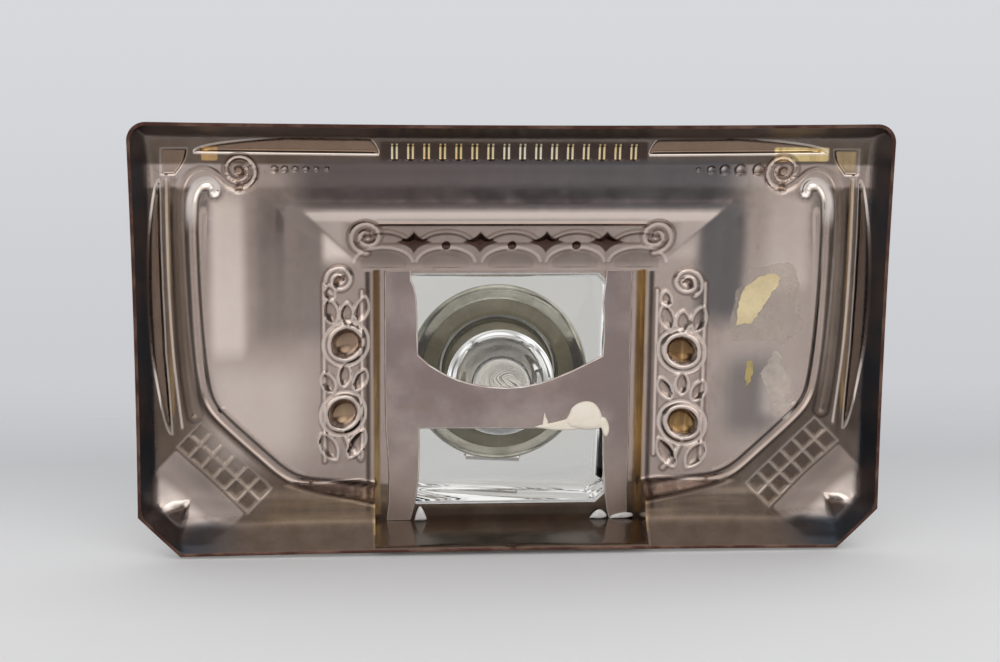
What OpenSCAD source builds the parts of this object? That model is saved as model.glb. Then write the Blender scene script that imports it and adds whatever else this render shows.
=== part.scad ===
// Desk inkstand: a tray stamped from one sheet, with a square glass inkwell on its rear plinth.
// Millimetres, +Z up, front towards -Y. The origin is the centre of the foot on the desk.

/* [Tray] */
// Width of the tray's foot, side to side
tray_w = 216; // [190:1:262]
// Depth of the tray's foot, front to rear
tray_d = 125; // [118:1:152]
// Thickness of the stamped sheet
sheet = 0.8; // [0.6:0.05:1.0]
// Radius of the two rounded front corners
corner_r = 5.5; // [4.5:0.5:8]
// Leg of the two cut-off rear corners
chamfer = 12; // [9:0.5:15]
// Height of the rim wall
rim_h = 7; // [5.5:0.5:8]
// Width of the sloping rim wall in plan
rim_in = 4.3; // [3.5:0.1:5.5]
// Height of the underside of the flat pen field
field_h = 10; // [9:0.25:12]
// Width of the border, from the foot's edge to the field
border_w = 19; // [18:0.5:22]
// Leg of the field's two cut-off rear corners
field_chamfer = 22; // [19:0.5:26]

/* [Border] */
// Radius of the narrow bead next to the field
bead_r = 1.1; // [0.9:0.1:1.3]
// Radius of the wide band outside the bead
band_r = 1.5; // [1.3:0.1:1.7]
// Radius of the volutes that end the wide band
volute_r = 4.8; // [4.4:0.2:5.2]
// Distance of each volute from the foot's side edge
volute_in = 30.5; // [29.5:0.5:34]
// Number of flutes in the front band
flutes = 16; // [10:1:18]
// Distance from one flute to the next
flute_pitch = 4.55; // [4.2:0.05:5.2]
// Radius of a flute
flute_r = 1.4; // [1.1:0.1:1.8]
// Length of a flute
flute_len = 4.3; // [3.5:0.1:5]
// Length of the boat-shaped panels along the sides
side_panel_len = 74; // [60:1:80]
// Width of the boat-shaped panels at their middle
panel_wide = 4.6; // [3.5:0.1:5.4]
// Number of cells along each lattice bar
lattice_cells = 6; // [4:1:7]
// Distance from one lattice cell to the next
lattice_pitch = 4.5; // [4:0.1:5]

/* [Ramp relief] */
// Number of stars in the frieze in front of the plinth
stars = 4; // [2:1:4]
// Distance from one star to the next
star_gap = 18.6; // [17:0.2:20]
// Length of a star from tip to tip
star_len = 13; // [10:0.5:14]
// Radius of the domed middle of a ring flower
flower_r = 3.9; // [3:0.1:4.4]
// Distance from one ring flower to the next
flower_gap = 21; // [18:0.5:24]

/* [Plinth] */
// Inside width of the plinth
plinth_w = 80; // [76:0.5:96]
// Inside depth of the plinth, from its front wall to the rear wall
plinth_d = 79; // [76:0.5:95]
// Height of the underside of the plinth's top
plinth_h = 24.3; // [22:0.1:28]
// Height at which the ramp meets the plinth
ramp_h = 18.5; // [15:0.5:20]
// Run of the ramp at each side
ramp_side = 20.5; // [16:0.5:24]
// Run of the ramp in front
ramp_front = 15.8; // [12:0.2:19]

/* [Well plate] */
// Width of the plate under the plinth
plate_w = 74; // [70:0.5:78]
// Thickness of the plate
plate_t = 0.8; // [0.6:0.1:1.2]
// Width of each leg of the plate
leg_w = 8.4; // [6:0.2:10]
// Width of the cross bar at its narrow middle
bar_w = 14; // [10:0.5:20]
// Radius of the curved cut in the cross bar
bar_cut_r = 40; // [36:1:50]

/* [Glass inkwell] */
// Width of the glass block
glass_w = 63; // [54:0.5:66]
// Depth of the glass block
glass_d = 70; // [58:0.5:72]
// Height of the glass block
glass_h = 33; // [28:0.5:44]
// Sideways shift of the glass block from the middle
glass_shift = -1.5; // [-3:0.5:3]
// Radius of the ink well
well_r = 15.5; // [12:0.5:17]
// Thickness of glass under the ink well
well_floor = 10.5; // [7:0.5:13]
// Radius of the neck
neck_r = 19; // [18:0.5:21]
// Height of the neck above the block
neck_h = 5; // [4:0.5:6]
// Bevel of the block's upright corners
glass_corner = 3.5; // [2:0.5:6]
// Bevel of the block's top edges
glass_bevel = 2; // [1:0.5:3]

/* [Collar and lid] */
// Outer radius of the collar's rolled foot
collar_r = 27; // [26:0.5:29]
// Radius of the collar's upper wall, which the lid continues
lid_r = 22.6; // [22:0.2:24.5]
// Thickness of the lid's metal
lid_t = 1; // [0.8:0.1:1.3]
// Height of the lid's dome above its rim
dome_h = 10; // [8:0.5:14]
// Thickness of the cement between neck and collar
cement_t = 0.9; // [0.6:0.1:1.2]
// Opening angle of the lid, for a look at the open lid
lid_open = 0; // [0:5:105]

/* [Hinge] */
// Radius of the hinge pin
pin_r = 1.1; // [0.9:0.1:1.3]
// Outer radius of the hinge knuckles
knuckle_r = 2.3; // [2:0.1:2.6]
// Length of the middle knuckle
knuckle_len = 6; // [5:0.5:8]
// Running clearance around the pin
pin_gap = 0.06; // [0.03:0.01:0.1]
// Side clearance between knuckles
side_gap = 0.3; // [0.2:0.05:0.5]

/* [Hidden] */
$fn = 64;
eps = 0.01;

// Plan of the tray.
half_w = tray_w / 2;
half_d = tray_d / 2;
corner_steps = 4;
rim_slope_t = sheet * sqrt(rim_h * rim_h + rim_in * rim_in) / rim_h;
rim_chamfer = chamfer - rim_in * (2 - sqrt(2));
band_in = 13;
band_z = rim_h + 1.3;
band_chamfer = field_chamfer - 2;
bead_in = border_w - 2.6;
bead_z = field_h - 0.5;
wide_in = border_w - 5.8;
wide_z = field_h - 1.1;
reed_in = 9.8;
panel_in = 6.7;
panel_row = 7.2;
volute_row = 14.1;
pearl_count = 5;

// Plinth and ramp, as the underside sees them.
plinth_rear = half_d - 1.4;
plinth_front = plinth_rear - plinth_d;
plinth_half = plinth_w / 2;
ledge = 3;
ledge_front = plinth_front - ledge / 2;
ramp_rear = half_d - 15.5;
rear_lean = 1.3;
rise = ramp_h - field_h;
front_tilt = atan(rise / ramp_front);
side_tilt = atan(rise / ramp_side);

// Plate and glass.
plate_z = plinth_h - plate_t;
plate_front = plinth_front + 0.4;
plate_rear = plinth_rear - rear_lean - 0.2;
leg_in = plate_w / 2 - leg_w;
bar_rear = plate_rear - 28.6;
bar_front = bar_rear - bar_w;
glass_gap = 0.5;
glass_x = glass_shift;
glass_y = plinth_front + 1.6 + glass_gap + glass_d / 2;
glass_z = plinth_h;
glass_top = glass_z + glass_h;
neck_top = glass_top + neck_h;

// Collar, lid and hinge.
collar_gap = 0.3;
collar_wall_r = lid_r - 0.6;
collar_in = neck_r + cement_t;
collar_mouth = well_r + 1.7;
collar_lip = 0.9;
collar_top = neck_top + collar_gap + collar_lip;
roll_r = 1.8;
lid_gap = 0.2;
lid_z = collar_top + lid_gap;
lid_band = 1.8;
dome_r = (lid_r * lid_r + dome_h * dome_h) / (2 * dome_h);
hinge_y = glass_y + lid_r + 0.4 + knuckle_r;
hinge_z = lid_z + 0.3;
hinge_half = knuckle_len / 2;
end_len = 4.5;
leaf_t = 1.1;

// Finial.
rivet_r = 1.2;
rivet_head_r = 2.2;
rivet_head_t = 0.8;
washer_r = 3.6;
washer_t = 0.6;
washer_gap = 0.05;
finial_r = 4.2;
finial_foot_r = 4.6;
finial_foot_t = 1.2;
finial_neck_r = 2;
dome_top = lid_z + lid_band + dome_h;
dome_in_r = dome_r - lid_t;
finial_z = dome_top - dome_r + sqrt(dome_r * dome_r - finial_foot_r * finial_foot_r);
washer_z = dome_top - dome_r + sqrt(dome_in_r * dome_in_r - washer_r * washer_r) - washer_gap - washer_t;

// ---------------------------------------------------------------- plan outlines and lofts

// Points of one rounded front corner, side = -1 left or 1 right.
function corner_points(w, front, r, side) =
    [for (i = [0:corner_steps])
        let (a = side < 0 ? 180 + 90 * i / corner_steps : 270 + 90 * i / corner_steps)
        [side * (w - r) + r * cos(a), front + r + r * sin(a)]];

// Outline with rounded front corners and cut-off rear corners.
function plan(side_in, front_in, rear_in, leg, r) =
    let (w = half_w - side_in, front = -half_d + front_in, rear = half_d - rear_in)
    concat(corner_points(w, front, r, -1), corner_points(w, front, r, 1),
           [[w, rear - leg], [w - leg, rear], [-w + leg, rear], [-w, rear - leg]]);

// Solid through a stack of outlines, each given as [points, height].
module loft(stack) {
    n = len(stack[0][0]);
    points = [for (level = stack) for (p = level[0]) [p[0], p[1], level[1]]];
    walls = [for (k = [0:len(stack) - 2]) for (i = [0:n - 1])
        [k * n + i, (k + 1) * n + i, (k + 1) * n + (i + 1) % n, k * n + (i + 1) % n]];
    floor = [for (i = [0:n - 1]) i];
    top = [for (i = [n - 1:-1:0]) (len(stack) - 1) * n + i];
    polyhedron(points, concat(walls, [floor, top]));
}

function box_plan(half, front, rear) = [[-half, front], [half, front], [half, rear], [-half, rear]];

// ---------------------------------------------------------------- tray
// Each form is a solid that fills the space under a surface. With e = 0 it is the underside of the
// sheet, with e = sheet its top side, and the tray is the one less the other.

module pan_form(e) {
    out = e == 0 ? rim_slope_t : 0;
    loft([[plan(out, out, out, chamfer - out * (2 - sqrt(2)), corner_r - out), e == 0 ? -1 : 0],
          [plan(out, out, out, chamfer - out * (2 - sqrt(2)), corner_r - out), eps],
          [plan(rim_in - e / 2, rim_in - e / 2, rim_in - e / 2, rim_chamfer, 2), rim_h + e],
          [plan(band_in, band_in, band_in, band_chamfer, 1), band_z + e],
          [plan(border_w, border_w - 2, border_w, field_chamfer, 1), field_h - 0.4 + e],
          [plan(border_w + 2.5, border_w + 0.5, border_w + 2.5, field_chamfer, 1), field_h + e]]);
}

module ramp_form(e) {
    base_z = rim_h - 2;
    extra = (field_h - base_z) / rise;
    low = plinth_half + ledge + ramp_side * (1 + extra);
    rear_run = 5;
    loft([[box_plan(low, ledge_front - ramp_front * (1 + extra), ramp_rear + rear_run * extra), base_z + e],
          [box_plan(plinth_half + ledge, ledge_front, ramp_rear - rear_run), ramp_h + e]]);
}

module plinth_form(e) {
    foot = e == 0 ? -1 : 0;
    lean = rear_lean / plinth_h;
    loft([[box_plan(plinth_half + e, plinth_front - e, plinth_rear + e - lean * foot), foot],
          [box_plan(plinth_half + e, plinth_front - e, plinth_rear + e - rear_lean), plinth_h + e]]);
}

function arc_points(centre, radius, from, to, steps) =
    [for (i = [0:steps]) let (a = from + (to - from) * i / steps) centre + radius * [cos(a), sin(a)]];

function left_of(a, b) = let (d = (b - a) / norm(b - a)) [-d[1], d[0]];

// Sideways direction at one point of a path, lengthened where the path bends.
function sideways(path, i) =
    let (last = len(path) - 1,
         before = left_of(path[max(i - 1, 0)], path[max(i, 1)]),
         after = left_of(path[min(i, last - 1)], path[min(i + 1, last)]))
    (before + after) / (1 + before * after);

// Rounded ridge along a level path, with a radius for each of its points.
module bead_sweep(path, radii, z) {
    section = [[-1, -1], [-1, 0.1], [-0.5, 0.85], [0.5, 0.85], [1, 0.1], [1, -1]];
    m = len(section);
    n = len(path);
    points = [for (i = [0:n - 1]) for (q = section)
        let (p = path[i] + sideways(path, i) * q[0] * radii[i]) [p[0], p[1], z + q[1] * radii[i]]];
    skin = [for (i = [0:n - 2]) for (j = [0:m - 1])
        [i * m + j, i * m + (j + 1) % m, (i + 1) * m + (j + 1) % m, (i + 1) * m + j]];
    start = [for (j = [m - 1:-1:0]) j];
    finish = [for (j = [0:m - 1]) (n - 1) * m + j];
    polyhedron(points, concat(skin, [start, finish]));
}

// The wide band on the right: volute, S-shaped link over the corner, and the run down the side.
module wide_band_right(e) {
    x = half_w - wide_in;
    eye = [half_w - volute_in, -half_d + volute_row];
    turn_r = 5.5;
    turn = [x - turn_r, eye[1] + 4.3];
    between = eye - turn;
    link = atan2(between[1], between[0]) + 90 - asin((turn_r + volute_r) / norm(between));
    curl = 290;
    curl_steps = 10;
    tighten = 0.8;
    curl_path = [for (i = [curl_steps:-1:0])
        let (a = link + 180 + curl * i / curl_steps)
        eye + (volute_r - tighten * i / curl_steps) * [cos(a), sin(a)]];
    run = [[x, -8], [x - 1.4, 11], [x - 2.8, half_d - 39]];
    path = concat(curl_path, arc_points(turn, turn_r, link > 180 ? link - 360 : link, 0, 6), run);
    radii = [for (i = [0:len(path) - 1]) e + band_r * min(1, 0.6 + 0.4 * i / curl_steps)];
    eye_r = volute_r - tighten - 0.6 * band_r - 2 * sheet - 0.3;
    bead_sweep(path, radii, wide_z);
    translate([eye[0], eye[1], wide_z]) sphere(r = eye_r + e);
}

// The narrow bead on the right: hooked end, side, diagonal, and the run to the plinth.
module frame_bead_right(e) {
    x = half_w - bead_in;
    hook_r = 3.6;
    k = (field_chamfer - 22) / 2 + border_w - 19;
    path = concat(arc_points([x - hook_r, -half_d + volute_row + 6.7], hook_r, 190, 360, 6),
                  [[x - 0.4, -8], [x - 2.2, half_d - 46], [half_w - 22.4 - k, half_d - 39.9 - k],
                   [half_w - 41.2 - k, half_d - 21.9 - k], [half_w - 44.5 - k, half_d - 18 - k],
                   [min(plinth_half + 10, half_w - 50 - k), half_d - 15], [plinth_half - 1, half_d - 14.4]]);
    bead_sweep(path, [for (p = path) bead_r + e], bead_z);
}

// Fine reed between the wide band and the side panel.
module reed_right(e) {
    x = half_w - reed_in;
    path = [[x - 0.4, -half_d + 17.5], [x, -half_d + 32], [x - 0.2, -10], [x - 1.4, 14],
            [x - 3, half_d - 37]];
    bead_sweep(path, [for (p = path) 0.5 + e], rim_h + 0.5);
}

// Five pearls that grow towards the volute.
module pearls_right(e) {
    first_x = half_w - volute_in - 27;
    for (i = [0:pearl_count - 1])
        translate([first_x + i * (3.6 + i * 0.22), -half_d + volute_row - 0.1, field_h - 1.2])
            sphere(r = 0.9 + 0.22 * i + e);
}

// Flutes across the front band.
module flute_band(e) {
    for (i = [0:flutes - 1])
        translate([(i - (flutes - 1) / 2) * flute_pitch, -half_d + 6.9, rim_h + 0.6])
            rotate([-90 + 8, 0, 0]) cylinder(r = flute_r + e, h = flute_len);
}

// Boat-shaped outline: two arcs that meet at the ends, length along Y.
module boat(length, width) {
    r = (length * length / 4 + width * width / 4) / width;
    intersection() {
        translate([r - width / 2, 0]) circle(r, $fn = 256);
        translate([width / 2 - r, 0]) circle(r, $fn = 256);
    }
}

module side_panel_right(e) {
    translate([half_w - panel_in, -half_d + 16.5 + side_panel_len / 2, rim_h - 1])
        linear_extrude(1.9 + e) boat(side_panel_len + 2 * e, panel_wide + 2 * e);
}

module front_panel_right(e) {
    inner = flutes * flute_pitch / 2 + 2;
    outer = half_w - 17.5;
    translate([(inner + outer) / 2, -half_d + panel_row, rim_h - 1])
        rotate(90) linear_extrude(1.9 + e) boat(outer - inner + 2 * e, panel_wide + 2 * e);
}

// Goblet-shaped boss in the front corner, narrower at its foot.
module corner_square_right(e) {
    inner = half_w - 14.8 - e;
    outer = half_w - 8.6 + e;
    front = -half_d + 8.1 - e;
    rear = -half_d + 15.2 + e;
    translate([0, 0, rim_h - 1]) linear_extrude(2.7 + e)
        polygon([[inner, front], [outer, front], [outer + 0.4, rear], [inner + 2.6, rear],
                 [inner + 1.2, front + 4]]);
}

// Two rows of square cells along the rear diagonal, and the rounded boss in the corner behind it.
module lattice_right(e) {
    from_corner = 25.5;
    middle = [half_w - chamfer / 2, half_d - chamfer / 2];
    cell = lattice_pitch - 1.7;
    translate([middle[0], middle[1], rim_h]) rotate(-45) {
        for (i = [0:lattice_cells - 1]) for (row = [-0.5, 0.5])
            translate([(i - (lattice_cells - 1) / 2) * lattice_pitch, row * lattice_pitch - from_corner, 2.1])
                cube([cell + 1.4 * e, cell + 1.4 * e, 2 + 2 * e], center = true);
    }
}

// Shell-shaped boss: a rounded back and two lobes that part in a notch towards the cut-off corner.
module shell_boss_right(e) {
    middle = [half_w - chamfer / 2, half_d - chamfer / 2];
    lobe_r = 12;
    lift = 2.2;
    spots = [[-5.6, -12.5], [5.6, -12.5], [0, -16.5]];
    translate([middle[0], middle[1], rim_h - 1]) rotate(-45) for (p = spots)
        translate([p[0], p[1], 0]) intersection() {
            translate([0, 0, 1 + lift - lobe_r]) sphere(r = lobe_r + e);
            cylinder(r = lobe_r, h = lobe_r);
        }
}

// Places its children on the front of the ramp, tilted with it; e is the rise of the surface.
module on_front(x, y, e) {
    z = ramp_h + e - (ledge_front - y) * rise / ramp_front;
    translate([x, y, z]) rotate([front_tilt, 0, 0]) children();
}

// Places its children on the right side of the ramp, tilted with it.
module on_side(x, y, e) {
    z = ramp_h + e - (x - plinth_half - ledge) * rise / ramp_side;
    translate([x, y, z]) rotate([0, side_tilt, 0]) children();
}

// Low dome whose rim has radius r and whose crown stands up by lift.
module low_dome(r, lift) {
    ball_r = (r * r + lift * lift) / (2 * lift);
    translate([0, 0, lift - ball_r]) sphere(r = ball_r);
}

// Outline of a four-pointed star, a across and b up and down from the middle to the tips.
function star(a, b, waist) =
    [[a, 0], [waist, waist], [0, b], [-waist, waist], [-a, 0], [-waist, -waist], [0, -b], [waist, -waist]];

// Outline of a pointed leaf with its length along Y.
function leaf(length, width) =
    let (side = [for (t = [-1:0.4:0.6]) [width / 2 * (1 - t * t), length / 2 * t]])
    concat(side, [for (p = side) -p]);

// Faceted boss: low walls round an outline, and facets that rise from them to one point.
module boss(outline, lift, e) {
    n = len(outline);
    wall = 0.25;
    points = concat([for (z = [-1 - e, wall]) for (p = outline) [p[0], p[1], z]], [[0, 0, lift]]);
    walls = [for (i = [0:n - 1]) [i, n + i, n + (i + 1) % n, (i + 1) % n]];
    facets = [for (i = [0:n - 1]) [n + i, 2 * n, n + (i + 1) % n]];
    polyhedron(points, concat(walls, facets, [[for (i = [0:n - 1]) i]]));
}

// Small open curl with a dot in its middle, turned to open at the angle given.
module curl(open, e) {
    turn_r = 3.6;
    steps = 9;
    path = [for (i = [0:steps])
        let (a = open + 290 * i / steps, r = turn_r - 0.7 * i / steps) [r * cos(a), r * sin(a)]];
    bead_sweep(path, [for (p = path) 0.6 + e], 0.1 - e);
    translate([0, 0, -e]) sphere(r = 0.5 + e);
}

// Frieze in front of the plinth: stars with dots between them.
module frieze(e) {
    row_y = ledge_front - 0.49 * ramp_front;
    for (i = [0:stars - 1])
        on_front((i - (stars - 1) / 2) * star_gap, row_y, e)
            boss(star(star_len / 2 + e, 4.6 + e, 1.5 + 0.7 * e), 1.5, e);
    for (i = [0:stars - 2])
        on_front((i + 1 - stars / 2) * star_gap, row_y + 1, 0) sphere(r = 1.3 + e);
}

// Curl, ring flowers and pairs of leaves down the right side of the ramp, and the frieze's end curl.
module side_flowers_right(e) {
    band_x = plinth_half + ledge + 0.36 * ramp_side;
    first_y = ledge_front + 23;
    leaf_rows = [[first_y - 9.6, 6.4], [first_y + flower_gap / 2, 7.6], [first_y + flower_gap + 9.6, 8]];
    for (i = [0, 1]) on_side(band_x, first_y + i * flower_gap, e) low_dome(flower_r + 0.6 * e, 1.7);
    for (row = leaf_rows) for (side = [-1, 1])
        on_side(band_x + side * 3.7, row[0], e) rotate(side * 14)
            boss(leaf(row[1] + 2 * e, 3.2 + 1.6 * e), 1.1, e);
    on_side(band_x + 1, ledge_front + 3.8, e) curl(60, e);
    on_front(plinth_half + 2.4, ledge_front - 9.4, e) curl(100, e);
}

module mirrored() {
    children();
    mirror([1, 0, 0]) children();
}

module tray_form(e) {
    pan_form(e);
    ramp_form(e);
    plinth_form(e);
    flute_band(e);
    frieze(e);
    mirrored() {
        wide_band_right(e);
        frame_bead_right(e);
        reed_right(e);
        pearls_right(e);
        side_panel_right(e);
        front_panel_right(e);
        corner_square_right(e);
        side_flowers_right(e);
        lattice_right(e);
        shell_boss_right(e);
    }
}

module tray() {
    color("silver") difference() {
        tray_form(sheet);
        tray_form(0);
        translate([glass_x, glass_y, plinth_h - 1])
            linear_extrude(sheet + 2) glass_plan(2 * glass_gap);
    }
}

// ---------------------------------------------------------------- plate and plaster

module well_plate() {
    color("rosybrown") translate([0, 0, plate_z]) linear_extrude(plate_t) difference() {
        translate([-plate_w / 2, plate_front]) square([plate_w, plate_rear - plate_front]);
        difference() {
            translate([-leg_in, plate_front - 1]) square([2 * leg_in, bar_rear + 1 - plate_front]);
            difference() {
                translate([-leg_in - 1, plate_front]) square([2 * leg_in + 2, bar_rear - plate_front + 2]);
                translate([0, bar_front - bar_cut_r]) circle(bar_cut_r, $fn = 128);
                translate([-leg_in - 2, plate_front - 1]) square([2 * leg_in + 4, 14]);
            }
        }
        translate([-leg_in, bar_rear]) square([2 * leg_in, plate_rear - bar_rear + 1]);
    }
}

dab_t = 0.9;

module plaster_bar_dab() {
    color("cornsilk") translate([0, 0, plate_z - dab_t]) linear_extrude(dab_t) {
        translate([leg_in - 6.5, bar_rear - 6]) circle(5.2);
        translate([leg_in - 1.2, bar_rear - 2]) circle(3.2);
        translate([-6, bar_rear - 1.8]) square([leg_in + 4, 1.8]);
        polygon([[2, bar_rear - 1], [leg_in - 9, bar_rear - 8], [leg_in - 2, bar_rear - 1]]);
    }
}

module plaster_left_dab() {
    color("whitesmoke") translate([-leg_in - 1.5, plate_rear - 2, plate_z - dab_t])
        cylinder(r = 1.7, h = dab_t);
}

module plaster_right_dab() {
    color("whitesmoke") translate([leg_in, plate_rear - 2.4, plate_z - dab_t]) {
        cylinder(r = 2.1, h = dab_t);
        translate([0, -0.4, 0]) cube([leg_w + 0.6, 1.6, dab_t]);
    }
}

// Thin ring of plaster between the glass and the edge of the plinth's opening.
module glass_bedding() {
    color("cornsilk") translate([glass_x, glass_y, glass_z]) linear_extrude(sheet) difference() {
        glass_plan(2 * glass_gap);
        glass_plan(0);
    }
}

// ---------------------------------------------------------------- glass

module glass_plan(grow) {
    w = glass_w / 2 + grow / 2;
    d = glass_d / 2 + grow / 2;
    c = glass_corner;
    polygon([[-w + c, -d], [w - c, -d], [w, -d + c], [w, d - c],
             [w - c, d], [-w + c, d], [-w, d - c], [-w, -d + c]]);
}

// Profile of a bevelled block across a width.
module bevel_profile(w) {
    b = glass_bevel;
    polygon([[-w / 2, 0], [w / 2, 0], [w / 2, glass_h - b], [w / 2 - b, glass_h], [-w / 2 + b, glass_h],
             [-w / 2, glass_h - b]]);
}

module glass_block() {
    round_r = 5;
    color("lightcyan", 0.4) translate([glass_x, glass_y, glass_z]) difference() {
        union() {
            intersection() {
                linear_extrude(glass_h) glass_plan(0);
                rotate([90, 0, 0]) translate([0, 0, -glass_d])
                    linear_extrude(2 * glass_d) bevel_profile(glass_w);
                rotate([90, 0, 90]) translate([0, 0, -glass_w])
                    linear_extrude(2 * glass_w) bevel_profile(glass_d);
            }
            cylinder(r = neck_r, h = glass_h + neck_h);
        }
        rotate_extrude() {
            translate([0, well_floor + round_r]) square([well_r, glass_h + neck_h]);
            translate([0, well_floor]) square([well_r - round_r, round_r + 1]);
            intersection() {
                translate([well_r - round_r, well_floor + round_r]) circle(round_r);
                translate([0, well_floor]) square([well_r, round_r + 1]);
            }
        }
    }
}

// ---------------------------------------------------------------- collar

module collar_cement() {
    color("darkolivegreen") translate([glass_x, glass_y, glass_top]) rotate_extrude() {
        translate([neck_r, 0]) square([cement_t, neck_h + collar_gap]);
        translate([collar_mouth, neck_h]) square([collar_in - collar_mouth, collar_gap]);
    }
}

module collar() {
    roll_x = collar_r - roll_r;
    top = collar_top - glass_top;
    color("silver") translate([glass_x, glass_y, glass_top]) rotate_extrude() {
        polygon([[collar_in, 0], [roll_x, 0], [roll_x, 2 * roll_r - 0.2], [collar_wall_r, top - 2.2],
                 [collar_wall_r, top], [collar_mouth, top], [collar_mouth, top - collar_lip],
                 [collar_in, top - collar_lip]]);
        translate([roll_x, roll_r]) circle(roll_r);
    }
}

// Leaf that is soldered to a round wall and reaches out to the hinge line; side moves it along the hinge.
module leaf(wall_r, low, width, side) {
    difference() {
        translate([side - width / 2, wall_r - 2, low]) cube([width, hinge_y - glass_y - wall_r + 2, leaf_t]);
        translate([0, 0, low - 1]) cylinder(r = wall_r, h = leaf_t + 2);
    }
}

module pin_hole(width) {
    translate([-width, hinge_y - glass_y, hinge_z]) rotate([0, 90, 0])
        cylinder(r = pin_r + pin_gap, h = 2 * width);
}

module knuckle(from_x, length) {
    translate([from_x, hinge_y - glass_y, hinge_z]) rotate([0, 90, 0]) cylinder(r = knuckle_r, h = length);
}

module collar_knuckles() {
    reach = hinge_half + side_gap + end_len;
    color("silver") translate([glass_x, glass_y, 0]) difference() {
        for (side = [-1, 1]) let (middle = side * (reach - end_len / 2)) {
            knuckle(middle - end_len / 2, end_len);
            leaf(collar_wall_r, hinge_z - knuckle_r, end_len, middle);
        }
        pin_hole(reach + 1);
    }
}

module hinge_pin() {
    reach = hinge_half + side_gap + end_len;
    color("dimgray") translate([glass_x - reach - 0.4, hinge_y, hinge_z]) rotate([0, 90, 0])
        cylinder(r = pin_r, h = 2 * reach + 0.8);
}

// ---------------------------------------------------------------- lid

module lid_body() {
    centre = lid_band + dome_h - dome_r;
    translate([glass_x, glass_y, lid_z]) difference() {
        union() {
            cylinder(r = lid_r, h = lid_band + eps);
            intersection() {
                translate([0, 0, centre]) sphere(r = dome_r, $fn = 128);
                cylinder(r = lid_r, h = lid_band + dome_h + 1);
            }
        }
        intersection() {
            translate([0, 0, centre]) sphere(r = dome_in_r, $fn = 128);
            translate([0, 0, -1]) cylinder(r = lid_r - lid_t, h = lid_band + dome_h + 2);
        }
        translate([0, 0, -1]) cylinder(r = lid_r - lid_t, h = lid_band + 1);
        cylinder(r = rivet_r, h = lid_band + dome_h + 1);
        translate([0, 0, finial_z - lid_z]) cylinder(r = finial_foot_r + 0.2, h = 2);
    }
}

module swing() {
    translate([0, hinge_y, hinge_z]) rotate([-lid_open, 0, 0]) translate([0, -hinge_y, -hinge_z]) children();
}

module lid() { color("gainsboro") swing() lid_body(); }

module lid_knuckle() {
    color("silver") swing() translate([glass_x, glass_y, 0]) difference() {
        union() {
            knuckle(-hinge_half, knuckle_len);
            leaf(lid_r, hinge_z, knuckle_len, 0);
        }
        pin_hole(knuckle_len);
    }
}

module finial() {
    color("silver") swing() translate([glass_x, glass_y, finial_z]) difference() {
        rotate_extrude() {
            square([finial_foot_r, finial_foot_t]);
            square([finial_neck_r, finial_foot_t + 3]);
            intersection() {
                translate([0, finial_foot_t + 1.6 + finial_r]) circle(finial_r);
                square([2 * finial_r, 4 * finial_r]);
            }
        }
        translate([0, 0, -1]) cylinder(r = rivet_r, h = 4.5);
    }
}

module finial_rivet() {
    low = washer_z - rivet_head_t;
    color("dimgray") swing() translate([glass_x, glass_y, low]) {
        cylinder(r = rivet_head_r, h = rivet_head_t);
        cylinder(r = rivet_r, h = finial_z + 3.5 - low);
    }
}

module finial_washer() {
    color("dimgray") swing() translate([glass_x, glass_y, washer_z]) difference() {
        cylinder(r = washer_r, h = washer_t);
        translate([0, 0, -1]) cylinder(r = rivet_r + 0.05, h = washer_t + 2);
    }
}

tray();
well_plate();
plaster_bar_dab();
plaster_left_dab();
plaster_right_dab();
glass_bedding();
glass_block();
collar_cement();
collar();
collar_knuckles();
hinge_pin();
lid();
lid_knuckle();
finial();
finial_rivet();
finial_washer();
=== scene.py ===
"""Looks of a silver-plated desk inkstand with a glass inkwell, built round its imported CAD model.

Shapes are reckoned in millimetres, and make_mesh() turns them into metres; the materials work in metres.
+Z is up, and the camera looks up at the underside of the tray, because that is the side that the
reference view shows.
"""

import math

import bmesh
import bpy
import numpy as np
from mathutils import Matrix, Vector
from mathutils import noise as mnoise


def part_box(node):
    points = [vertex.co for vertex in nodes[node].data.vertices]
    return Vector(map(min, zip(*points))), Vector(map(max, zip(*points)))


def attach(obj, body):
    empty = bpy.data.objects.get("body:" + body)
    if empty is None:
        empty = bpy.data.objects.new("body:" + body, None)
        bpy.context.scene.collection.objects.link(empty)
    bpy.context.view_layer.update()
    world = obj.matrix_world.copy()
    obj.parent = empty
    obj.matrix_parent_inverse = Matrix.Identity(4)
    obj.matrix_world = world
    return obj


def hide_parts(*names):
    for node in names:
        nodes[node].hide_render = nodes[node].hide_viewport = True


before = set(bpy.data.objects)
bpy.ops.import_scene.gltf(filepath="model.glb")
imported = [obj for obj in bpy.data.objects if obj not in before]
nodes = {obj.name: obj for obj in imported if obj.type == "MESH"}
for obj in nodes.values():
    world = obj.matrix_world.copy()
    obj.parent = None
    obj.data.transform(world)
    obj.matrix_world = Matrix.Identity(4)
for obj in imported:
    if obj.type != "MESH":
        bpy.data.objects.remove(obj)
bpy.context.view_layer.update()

MM = 0.001


def node_box(name):
    """Lowest and highest corner of a CAD node, in millimetres."""
    low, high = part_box(name)
    return np.array(low) / MM, np.array(high) / MM


# ---------------------------------------------------------------- sizes of the CAD model

tray_high = node_box("tray")[1]
plate_low, plate_high = node_box("well_plate")
glass_low, glass_high = node_box("glass_block")
collar_high = node_box("collar")[1]
lid_low, lid_high = node_box("lid")
finial_low, finial_high = node_box("finial")

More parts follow.
